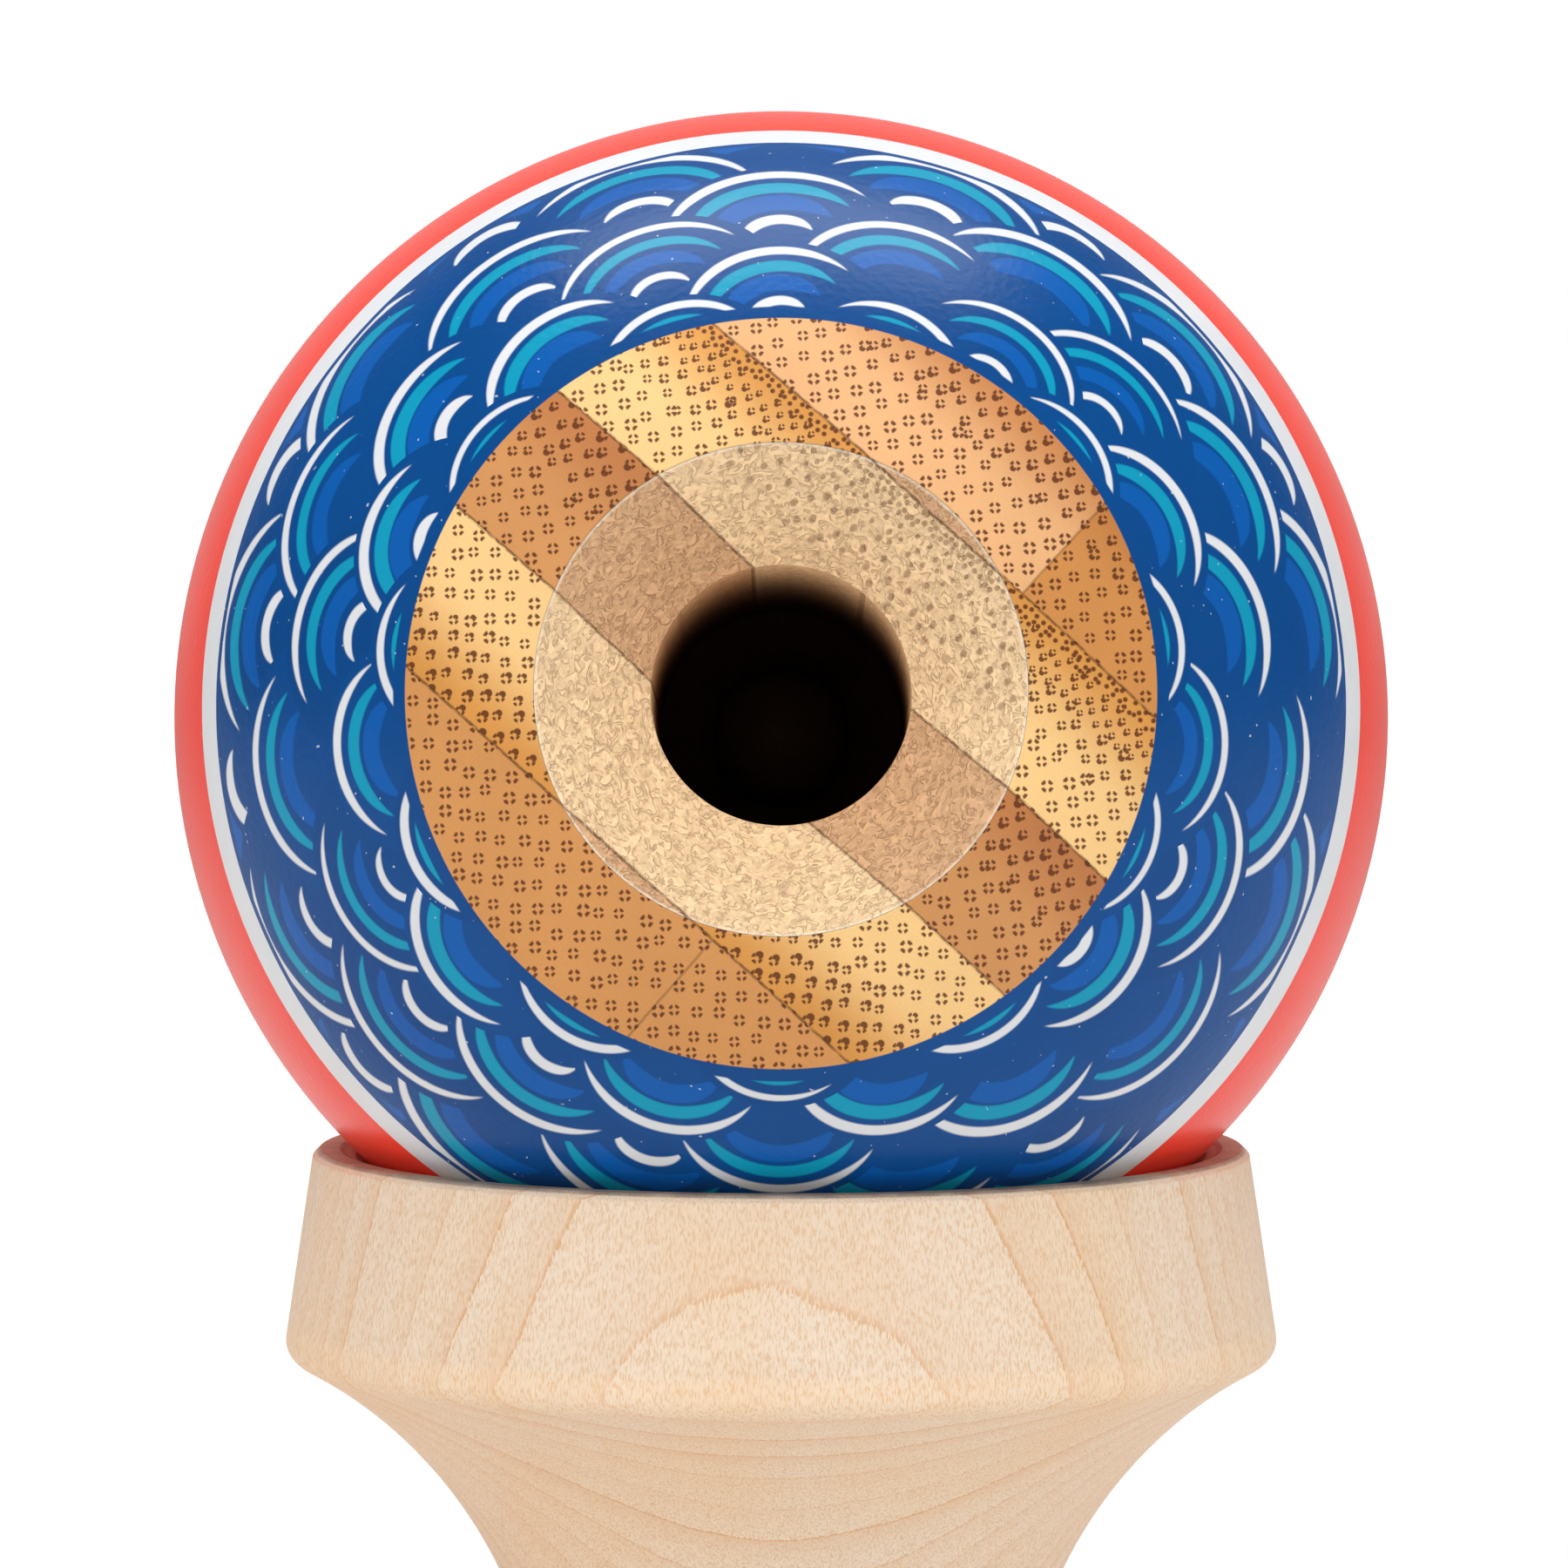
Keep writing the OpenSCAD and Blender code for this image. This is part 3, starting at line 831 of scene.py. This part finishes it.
def turned_grain(name):
    """Turned wood with its grain along Z: growth lines across Y, short flecks, soft warm patches, a painted
    highlight on torn edges and a painted shadow line on lips.
    """
    inputs = {
        "Vector": VECTOR, "Ground": COLOUR, "Warm": COLOUR, "Line": COLOUR, "Fleck": COLOUR,
        "Rub": COLOUR, "First Line": NUMBER, "Spacing": NUMBER, "Bend": NUMBER, "Torn": NUMBER,
        "Rubbed": NUMBER,
    }
    tree, given, out = shader_group(name, inputs, {"Color": COLOUR, "Height": NUMBER, "Flecks": NUMBER})
    # The first ring's number, from which the strength of each ring's line follows
    first_ring = 40.0
    flecks_across = 11.0
    flecks_along = 2.3
    x, y, _ = given["Vector"].parts()
    slow = noise(given["Vector"].scaled(1.0, 1.0, 0.4), 9.0, detail=1.0)
    ripple = noise(given["Vector"].scaled(1.0, 1.0, 0.5), 0.9, detail=2.0)
    grains = given["Vector"].scaled(flecks_across, flecks_across, flecks_along)
    fleck_noise = noise(grains, 1.0, detail=1.0, roughness=0.6)
    waver = (slow - 0.5) * 0.7 + (ripple - 0.5) * 0.1 + (fleck_noise - 0.5) * 0.12
    depth = y - x * x * given["Bend"] + waver
    phase = (depth - given["First Line"]) / given["Spacing"] + first_ring
    phase = phase + (noise(phase, 2.2, detail=0.0, dimensions="1D") - 0.5) * 0.9
    ring = phase.math("FLOOR")
    in_ring = phase - ring
    strength = noise(ring * 3.7, 1.0, detail=0.0, dimensions="1D").rise(0.3, 0.75) * 0.75 + 0.25
    line = in_ring.rise(0.075, 0.02) * in_ring.rise(0.0, 0.015)
    band = in_ring.rise(0.75, 0.0)
    flecks = fleck_noise.rise(0.48, 0.66)
    pale = fleck_noise.rise(0.45, 0.3)
    patches = noise(given["Vector"].scaled(1.0, 1.0, 0.5), 7.0, detail=2.0)
    wood = mixed(patches.rise(0.35, 0.75) * 0.55, given["Ground"], given["Warm"])
    wood = mixed(band * 0.24 * strength, wood, given["Line"])
    wood = mixed(line * strength * (fleck_noise.rise(0.35, 0.6) * 0.75 + 0.25), wood, given["Line"])
    wood = mixed(flecks * (given["Torn"] * 0.3 + 0.68), wood, given["Fleck"])
    # The torn edges are also painted lighter, a painted highlight along the ridges
    wood = toned(wood, pale * 0.06 + given["Torn"] * 0.07 + 1.0)
    wood = mixed(given["Torn"] * 0.35, wood, given["Warm"])
    # Painted shadow line on the lips
    wood = mixed(given["Rubbed"], wood, given["Rub"])
    give(out, Color=wood, Height=flecks * -0.006, Flecks=flecks)
    return tree


# Materials


def new_material(name):
    """A material's tree, its shader and its Object coordinates."""
    material = bpy.data.materials.new(name)
    material.use_nodes = True
    tree = material.node_tree
    shader = tree.nodes["Principled BSDF"]
    at = Wire(tree, tree.nodes.new("ShaderNodeTexCoord").outputs["Object"])
    return material, tree, shader, at


def bump(tree, shader, height):
    """Gives the shader a bump whose height is in millimetres."""
    node = place(tree, "ShaderNodeBump", {"Strength": 1.0, "Distance": MM, "Height": height})
    tree.links.new(node.outputs["Normal"], shader.inputs["Normal"])


def bamboo_strip_material(tone):
    """Bamboo of one tone in the ball: lacquered in the window, raw in the bevel and the hole, and painted
    beyond the window."""
    ball = bpy.context.scene.kendama_ball
    paint = bpy.context.scene.kendama_paint
    finish = bpy.context.scene.kendama_finish
    material, tree, shader, at = new_material("bamboo_" + tone)
    places = use_group(tree, ball_places, {"Vector": at})
    millimetres = at.scaled(1 / MM, 1 / MM, 1 / MM)
    grain = use_group(tree, bamboo_end_grain, {
        "Along": places["Along"], "Across": places["Across"], "Thickness": ball.strip / MM,
        "Side Joint": ball.side_joint / MM, "Ground": getattr(finish, tone),
        "Dense": getattr(finish, tone + "_dense"), "Bundle": finish.bundle,
    })
    bevel_depth = math.sqrt(ball.radius ** 2 - ball.bevel_radius ** 2)
    mouth = bevel_depth - (ball.bevel_radius - ball.hole_radius) / math.tan(ball.bevel_angle)
    # How deep a point lies in the hole, for the painted shade there
    in_hole = places["Off Axis"].rise(ball.hole_radius / MM + 0.35, ball.hole_radius / MM + 0.1)
    under = ball.radius / MM - places["Radius"]
    bevel = use_group(tree, torn_bevel, {
        "Vector": millimetres, "Raw": finish.straw_raw if tone == "straw" else finish.brown_raw,
        "Bundle": finish.bundle, "Dimples": grain["Dimples"], "Edge Depth": under,
        "Hole Depth": (mouth / MM - places["Out"]) * in_hole,
    })
    coat = use_group(tree, scale_ring, {
        "Polar": places["Polar"], "Turn": places["Turn"], "Vector": millimetres, "Window": paint.window,
        "Border": paint.border, "Border Width": paint.border_width, "Scales": float(paint.scales),
        "Navy": paint.navy, "Royal": paint.royal, "Teal": paint.teal, "White": paint.white,
        "Red": paint.red,
    })
    bare = under.rise(0.03, 0.08)
    painted = coat["Painted"] * (1.0 - bare)
    wood = mixed(bare, grain["Color"], bevel["Color"])
    wood = mixed(grain["Glue"] * 0.72, wood, finish.glue)
    feed(tree, shader.inputs["Base Color"], mixed(painted, wood, coat["Color"]))
    lacquer = grain["Bundles"] * 0.12 + 0.34
    rough = bare.pick(0.85, painted.pick(0.3, lacquer))
    feed(tree, shader.inputs["Roughness"], rough)
    shader.inputs["Specular IOR Level"].default_value = 0.2
    lacquer_height = (grain["Bundles"] + grain["Glue"]) * -0.012
    height = bare.pick(bevel["Height"], painted.pick(coat["Height"], lacquer_height))
    bump(tree, shader, height)
    return material


def maple_tones(finish):
    return finish.maple, finish.maple_warm, finish.maple_line, finish.maple_fleck, finish.maple_rub


def bead_tones(finish):
    return finish.bead, finish.bead * 1.15, finish.bead * 0.6, finish.bead * 0.75, finish.bead


def near_heights(height, places, far, near):
    """1 near any of these heights, in millimetres, and 0 away from all of them."""
    found = height * 0.0
    for at in places:
        found = highest(found, abs(height - at / MM).rise(far, near))
    return found


def turned_wood_material(name, tones, grain_turn, spacing, first_line, bend, edges, lips):
    """Sanded wood. Its grain is turned into place. It is torn and warmer at the sharp turned edges, and
    painted lighter there as a painted highlight. The given lips get a painted shadow line, darkest in front
    towards the camera. Its tones are those of the ground, of warmer patches, of the growth lines, of the
    flecks and of the painted lip shadow."""
    ground, warm, growth_line, fleck, lip_shadow_colour = tones
    material, tree, shader, at = new_material(name)
    turned = place(
        tree, "ShaderNodeMapping",
        {"Vector": at, "Rotation": grain_turn, "Scale": (1 / MM, 1 / MM, 1 / MM)}, vector_type="POINT"
    )
    at_grain = Wire(tree, turned.outputs["Vector"])
    _, backwards, height_along = at_grain.parts()
    # Painted shadow on the lips under the ball, strongest in front, towards the camera
    painted_light = backwards.rise(12.0, -16.0) * 0.75 + 0.25
    blots = noise(at_grain, 1.5) * 0.6 + 0.4
    lip_shadow_mask = near_heights(height_along, lips, far=0.2, near=0.08) * painted_light * blots
    grain = use_group(tree, turned_grain, {
        "Vector": at_grain, "Ground": ground, "Warm": warm, "Line": growth_line, "Fleck": fleck,
        "Rub": lip_shadow_colour, "First Line": first_line / MM, "Spacing": spacing / MM, "Bend": bend,
        "Torn": near_heights(height_along, edges, far=1.3, near=0.5), "Rubbed": lip_shadow_mask,
    })
    feed(tree, shader.inputs["Base Color"], grain["Color"])
    feed(tree, shader.inputs["Roughness"], grain["Flecks"] * 0.12 + 0.55)
    bump(tree, shader, grain["Height"])
    return material


# Operators


class KENDAMA_OT_turn_crosspiece(bpy.types.Operator):
    """Turn the crosspiece with its two cups, and drill the seat hole and the string hole in its waist"""

    bl_idname = "kendama.turn_crosspiece"
    bl_label = "Crosspiece"

    def execute(self, context):
        sizes = context.scene.kendama_crosspiece
        handle = context.scene.kendama_handle
        finish = context.scene.kendama_finish
        small, small_bottom = cup_outline(
            sizes, sizes.small_rim, sizes.small_wide, sizes.small_wall, sizes.waist, sizes.cove,
            sizes.seat_angle, sizes.dish
        )
        big, big_bottom = cup_outline(
            sizes, sizes.big_rim, sizes.big_wide, sizes.big_wall, sizes.waist, sizes.cove,
            sizes.seat_angle, sizes.dish
        )
        rim_height = -small_bottom + sizes.waist_height - big_bottom
        outline = raised(big, rim_height) + turned_over(small, 0)
        material = turned_wood_material(
            "maple_crosspiece", maple_tones(finish), grain_turn=(0, 0, 0), spacing=1.5 * MM,
            first_line=-23.72 * MM, bend=0.0089,
            edges=(rim_height - sizes.big_wall, sizes.small_wall), lips=(rim_height,)
        )
        piece = turned_piece(
            "crosspiece", soften(outline, finish.softening), material, Matrix.Identity(4)
        )
        reach = 2 * handle.half_seat
        slope = math.tan(handle.taper) * reach
        wide = handle.seat + handle.clearance
        drill(piece, rod(wide + slope, wide - slope, reach), ALONG_HANDLE)
        string_radius = context.scene.kendama_ball.string_radius
        drill(piece, rod(string_radius, string_radius, reach), ACROSS_HANDLE)
        finish_piece(piece, "sarado", "sarado_crosspiece")
        return {"FINISHED"}


class KENDAMA_OT_turn_handle(bpy.types.Operator):
    """Turn the handle with its spike, tapered seat, grip and base cup, and drill the string hole"""

    bl_idname = "kendama.turn_handle"
    bl_label = "Handle"

    def execute(self, context):
        cups = context.scene.kendama_crosspiece
        sizes = context.scene.kendama_handle
        finish = context.scene.kendama_finish
        swell_height = -sizes.half_seat - sizes.swell_at
        swell_centre = (sizes.swell - sizes.swell_curve, swell_height)
        flare_across = sizes.grip + sizes.flare - swell_centre[0]
        grip_height = swell_height - math.sqrt((sizes.swell_curve + sizes.flare) ** 2 - flare_across ** 2)
        flare_centre = (sizes.grip + sizes.flare, grip_height)
        to_flare = math.atan2(grip_height - swell_height, flare_across)
        shoulder = math.asin(sizes.swell_at / sizes.swell_curve)
        slope = sizes.half_seat * math.tan(sizes.taper)
        spike_foot = Vector((sizes.seat - slope, sizes.half_seat))
        tip_centre = (0, sizes.half_seat + sizes.spike - sizes.tip)
        tip_touch = touch_angle(spike_foot, tip_centre, sizes.tip)
        cup, cup_bottom = cup_outline(
            cups, sizes.base_rim, sizes.base_wide, sizes.base_wall, sizes.grip, sizes.flare,
            sizes.base_seat_angle, sizes.base_dish
        )
        rim_height = grip_height + cup_bottom
        outline = arc(tip_centre, sizes.tip, math.pi / 2, tip_touch, math.radians(6))
        outline.append(spike_foot)
        outline.append(Vector((sizes.seat + slope, -sizes.half_seat)))
        outline += arc(swell_centre, sizes.swell_curve, shoulder, to_flare, math.radians(0.7))
        outline += arc(flare_centre, sizes.flare, math.pi + to_flare, math.pi)[1:-1]
        outline += turned_over(cup, rim_height)
        material = turned_wood_material(
            "maple_handle", maple_tones(finish), grain_turn=(0, -math.pi / 2, 0), spacing=1.9 * MM,
            first_line=-10.6 * MM, bend=0.006, edges=(rim_height + sizes.base_wall,), lips=()
        )
        piece = turned_piece("handle", soften(outline, 2.5 * finish.softening), material, ALONG_HANDLE)
        string_radius = context.scene.kendama_ball.string_radius
        drill(piece, rod(string_radius, string_radius, 2 * sizes.seat), ACROSS_HANDLE)
        finish_piece(piece, "ken", "ken_handle")
        return {"FINISHED"}


def hole_end(ball):
    """Heights along the hole, from the ball's middle: the cone's narrow end and its wide end."""
    narrow = ball.end_wall - ball.radius
    wide = narrow + (ball.hole_radius - ball.string_radius) / math.tan(ball.end_angle / 2)
    return narrow, wide


def ball_placing(x_axis, y_axis):
    """Puts what is made round Z into the ball, with Z out of the hole."""
    turn = Matrix((x_axis, y_axis, HOLE_AXIS)).transposed()
    return Matrix.Translation(BALL_CENTRE) @ turn.to_4x4()


class KENDAMA_OT_glue_ball(bpy.types.Operator):
    """Turn and drill the ball, and part it into its bamboo strips"""

    bl_idname = "kendama.glue_ball"
    bl_label = "Ball strips"

    def execute(self, context):
        ball = context.scene.kendama_ball
        finish = context.scene.kendama_finish
        tones = ("straw", "brown", "caramel", "salmon", "umber")
        materials = {tone: bamboo_strip_material(tone) for tone in tones}
        mouth = Vector((ball.bevel_radius, math.sqrt(ball.radius ** 2 - ball.bevel_radius ** 2)))
        mouth_low = mouth.y - (ball.bevel_radius - ball.hole_radius) / math.tan(ball.bevel_angle)
        narrow, wide = hole_end(ball)
        back = math.asin(ball.string_radius / ball.radius) - math.pi / 2
        outline = arc((0, 0), ball.radius, back, math.atan2(mouth.y, mouth.x), math.radians(1.6))
        outline.append(Vector((ball.hole_radius, mouth_low)))
        outline.append(Vector((ball.hole_radius, wide)))
        outline.append(Vector((ball.string_radius, narrow)))
        outline.append(outline[0].copy())
        whole = turned_piece(
            "ball", soften(outline, 0.6 * finish.softening), materials["straw"], Matrix.Identity(4)
        )
        last = int(ball.radius // ball.strip)
        layers = [0]
        for n in range(1, last + 1):
            layers += [-n, n]
        number = 0
        for layer in layers:
            for side in (-1, 1) if abs(layer) == SPLIT_LAYER else (0,):
                number += 1
                self.part_strip(whole.data, ball, number, layer, side, last, materials)
        mesh = whole.data
        bpy.data.objects.remove(whole)
        bpy.data.meshes.remove(mesh)
        return {"FINISHED"}

    def part_strip(self, whole, ball, number, layer, side, last, materials):
        """Cuts one strip out of the turned ball."""
        tone = "straw" if layer % 2 else "caramel"
        if layer == 0:
            tone = "brown"
        if layer == SPLIT_LAYER:
            tone = "umber" if side > 0 else "salmon"
        cuts = []
        if layer > -last:
            cuts.append((Vector((0, (layer - 0.5) * ball.strip, 0)), Vector((0, -1, 0))))
        if layer < last:
            cuts.append((Vector((0, (layer + 0.5) * ball.strip, 0)), Vector((0, 1, 0))))
        if side:
            cuts.append((Vector((ball.side_joint, 0, 0)), Vector((-side, 0, 0))))
        shape = bmesh.new()
        shape.from_mesh(whole)
        for point, outwards in cuts:
            everything = shape.verts[:] + shape.edges[:] + shape.faces[:]
            cut = bmesh.ops.bisect_plane(
                shape, geom=everything, dist=1e-8, plane_co=point, plane_no=outwards, clear_outer=True
            )
            rims = [part for part in cut["geom_cut"] if isinstance(part, bmesh.types.BMEdge)]
            bmesh.ops.triangle_fill(shape, edges=rims, use_beauty=True, normal=outwards)
        bmesh.ops.recalc_face_normals(shape, faces=shape.faces)
        mesh = bpy.data.meshes.new(f"ball_strip_{number}")
        shape.to_mesh(mesh)
        shape.free()
        mesh.materials.append(materials[tone])
        _, _, along, across = ball_axes()
        mesh.transform(ball_placing(along, across))
        piece = bpy.data.objects.new(mesh.name, mesh)
        bpy.context.scene.collection.objects.link(piece)
        finish_piece(piece, "tama", f"tama_strip_{number}")
        self.round_normals(mesh, ball.radius)

    def round_normals(self, mesh, radius):
        """Shades the outside as one sphere, so that the paint runs unbroken over the glue lines."""
        tolerance = 0.004 * MM
        normals = [corner.vector.copy() for corner in mesh.corner_normals]
        for face in mesh.polygons:
            spokes = [mesh.vertices[i].co - BALL_CENTRE for i in face.vertices]
            if all(abs(spoke.length - radius) < tolerance for spoke in spokes):
                for corner, spoke in zip(face.loop_indices, spokes):
                    normals[corner] = spoke.normalized()
        mesh.normals_split_custom_set(normals)


class KENDAMA_OT_turn_bead(bpy.types.Operator):
    """Turn the bead that lies at the end of the ball's hole, with its own hole across"""

    bl_idname = "kendama.turn_bead"
    bl_label = "Bead"

    def execute(self, context):
        ball = context.scene.kendama_ball
        finish = context.scene.kendama_finish
        material = turned_wood_material(
            "bead_wood", bead_tones(finish), grain_turn=(math.pi / 2, 0, 0), spacing=0.9 * MM,
            first_line=-3 * MM, bend=0.01, edges=(), lips=()
        )
        narrow, _ = hole_end(ball)
        cone = ball.end_angle / 2
        apex = narrow - ball.string_radius / math.tan(cone)
        height = apex + (ball.bead_radius + ball.bead_gap) / math.sin(cone)
        end = math.acos(ball.bead_bore / ball.bead_radius)
        outline = arc((0, 0), ball.bead_radius, -end, end, math.radians(5))
        outline.append(outline[0].copy())
        right, up, _, _ = ball_axes()
        placing = ball_placing(right, up) @ Matrix.Translation((0, 0, height))
        placing = placing @ Matrix.Rotation(math.pi / 2, 4, "Y")
        piece = turned_piece("string_bead", soften(outline, finish.softening), material, placing)
        finish_piece(piece, "bead", "bead")
        return {"FINISHED"}


class KENDAMA_OT_set_stage(bpy.types.Operator):
    """Lay the floor, and set the lights, the background and the camera"""

    bl_idname = "kendama.set_stage"
    bl_label = "Stage"

    def execute(self, context):
        stage = context.scene.kendama_stage
        self.lay_floor(context, stage)
        self.light_world(context, stage)
        look_at = Vector((0, 0, 0.07))
        self.add_softbox("overhead", (0.0, 0.18, 0.72), look_at, 0.6, 0.3, stage.overhead)
        self.add_softbox("key", (0.0, -0.45, 0.62), look_at, 0.9, 0.6, stage.key)
        self.add_softbox("left", (-0.75, -0.14, 0.2), look_at, 0.8, 0.8, stage.sides)
        self.add_softbox("right", (0.75, -0.14, 0.2), look_at, 0.8, 0.8, stage.sides)
        self.add_softbox("front_left", (-0.5, -0.75, 0.05), look_at, 0.6, 0.6, stage.front)
        self.add_softbox("front_right", (0.5, -0.75, 0.05), look_at, 0.6, 0.6, stage.front)
        camera = bpy.data.objects.new("camera", bpy.data.cameras.new("camera"))
        context.scene.collection.objects.link(camera)
        camera.location = stage.camera_place
        camera.rotation_euler = (math.pi / 2 - stage.camera_pitch, 0, 0)
        camera.data.lens = stage.lens
        camera.data.sensor_width = 36
        camera.data.clip_start = 0.01
        context.scene.camera = camera
        context.scene.view_settings.view_transform = "Standard"
        return {"FINISHED"}

    def lay_floor(self, context, stage):
        floor_gap = 0.05 * MM
        shape = bmesh.new()
        bmesh.ops.create_circle(shape, cap_ends=True, radius=6, segments=96)
        mesh = bpy.data.meshes.new("floor")
        shape.to_mesh(mesh)
        shape.free()
        mesh.transform(Matrix.Translation((0, 0, -floor_gap)))
        floor = bpy.data.objects.new("floor", mesh)
        context.scene.collection.objects.link(floor)
        material = bpy.data.materials.new("floor_white")
        material.use_nodes = True
        tree = material.node_tree
        shader = tree.nodes["Principled BSDF"]
        shader.inputs["Base Color"].default_value = (stage.floor, stage.floor, stage.floor, 1)
        shader.inputs["Roughness"].default_value = 0.9
        shader.inputs["Specular IOR Level"].default_value = 0.0
        # The lamps light the floor white near the object. The camera sees the rest as white too
        seen = Wire(tree, tree.nodes.new("ShaderNodeLightPath").outputs["Is Camera Ray"])
        x, y, _ = Wire(tree, tree.nodes.new("ShaderNodeTexCoord").outputs["Object"]).parts()
        missing = 1.06 - stage.floor * stage.fill
        shader.inputs["Emission Color"].default_value = (1, 1, 1, 1)
        feed(tree, shader.inputs["Emission Strength"], seen * hypot(x, y).rise(0.0, 1.0) * missing)
        mesh.materials.append(material)

    def light_world(self, context, stage):
        world = bpy.data.worlds.new("studio")
        context.scene.world = world
        world.use_nodes = True
        tree = world.node_tree
        tree.nodes.clear()
        path = tree.nodes.new("ShaderNodeLightPath")
        rays = ("Is Camera Ray", "Is Glossy Ray", "Is Transmission Ray")
        camera, glossy, transmitted = (Wire(tree, path.outputs[ray]) for ray in rays)
        # The white backdrop stands behind the object. Gloss shows the dimmer room on the camera's side
        _, backwards, _ = Wire(tree, tree.nodes.new("ShaderNodeTexCoord").outputs["Generated"]).parts()
        mirrored = glossy * backwards.rise(0.5, 1.0).pick(0.6, 0.03)
        strength = highest(camera, transmitted).pick(1.0, glossy.pick(mirrored, stage.fill))
        light = place(tree, "ShaderNodeBackground", {"Color": (1, 1, 1, 1), "Strength": strength})
        place(tree, "ShaderNodeOutputWorld", {"Surface": light.outputs[0]})

    def add_softbox(self, name, at, look_at, width, height, power):
        light = bpy.data.lights.new(name, "AREA")
        light.shape = "RECTANGLE"
        light.size = width
        light.size_y = height
        light.energy = power
        lamp = bpy.data.objects.new(name, light)
        # Gloss shows only the light overhead
        lamp.visible_glossy = name == "overhead"
        bpy.context.scene.collection.objects.link(lamp)
        lamp.location = at
        lamp.rotation_euler = (look_at - lamp.location).to_track_quat("-Z", "Y").to_euler()


OPERATORS = (
    KENDAMA_OT_turn_crosspiece,
    KENDAMA_OT_turn_handle,
    KENDAMA_OT_glue_ball,
    KENDAMA_OT_turn_bead,
    KENDAMA_OT_set_stage,
)
SETTINGS = {
    "kendama_ball": KendamaBall,
    "kendama_paint": KendamaPaint,
    "kendama_crosspiece": KendamaCrosspiece,
    "kendama_handle": KendamaHandle,
    "kendama_finish": KendamaFinish,
    "kendama_stage": KendamaStage,
}


class KENDAMA_PT_panel(bpy.types.Panel):
    """Sizes and colours of the kendama, and the steps that build it"""

    bl_idname = "KENDAMA_PT_panel"
    bl_label = "Kendama"
    bl_space_type = "VIEW_3D"
    bl_region_type = "UI"
    bl_category = "Kendama"

    def draw(self, context):
        for operator in OPERATORS:
            self.layout.operator(operator.bl_idname)
        for name, group in SETTINGS.items():
            box = self.layout.box()
            box.label(text=group.__doc__)
            for label in group.__annotations__:
                box.prop(getattr(context.scene, name), label)


def register():
    for group in SETTINGS.values():
        bpy.utils.register_class(group)
    for operator in OPERATORS:
        bpy.utils.register_class(operator)
    bpy.utils.register_class(KENDAMA_PT_panel)
    for name, group in SETTINGS.items():
        setattr(bpy.types.Scene, name, PointerProperty(type=group))


def unregister():
    for name in SETTINGS:
        delattr(bpy.types.Scene, name)
    bpy.utils.unregister_class(KENDAMA_PT_panel)
    for operator in reversed(OPERATORS):
        bpy.utils.unregister_class(operator)
    for group in reversed(SETTINGS.values()):
        bpy.utils.unregister_class(group)


def main():
    register()
    bpy.ops.kendama.turn_crosspiece()
    bpy.ops.kendama.turn_handle()
    bpy.ops.kendama.glue_ball()
    bpy.ops.kendama.turn_bead()
    bpy.ops.kendama.set_stage()


if __name__ == "__main__":
    main()
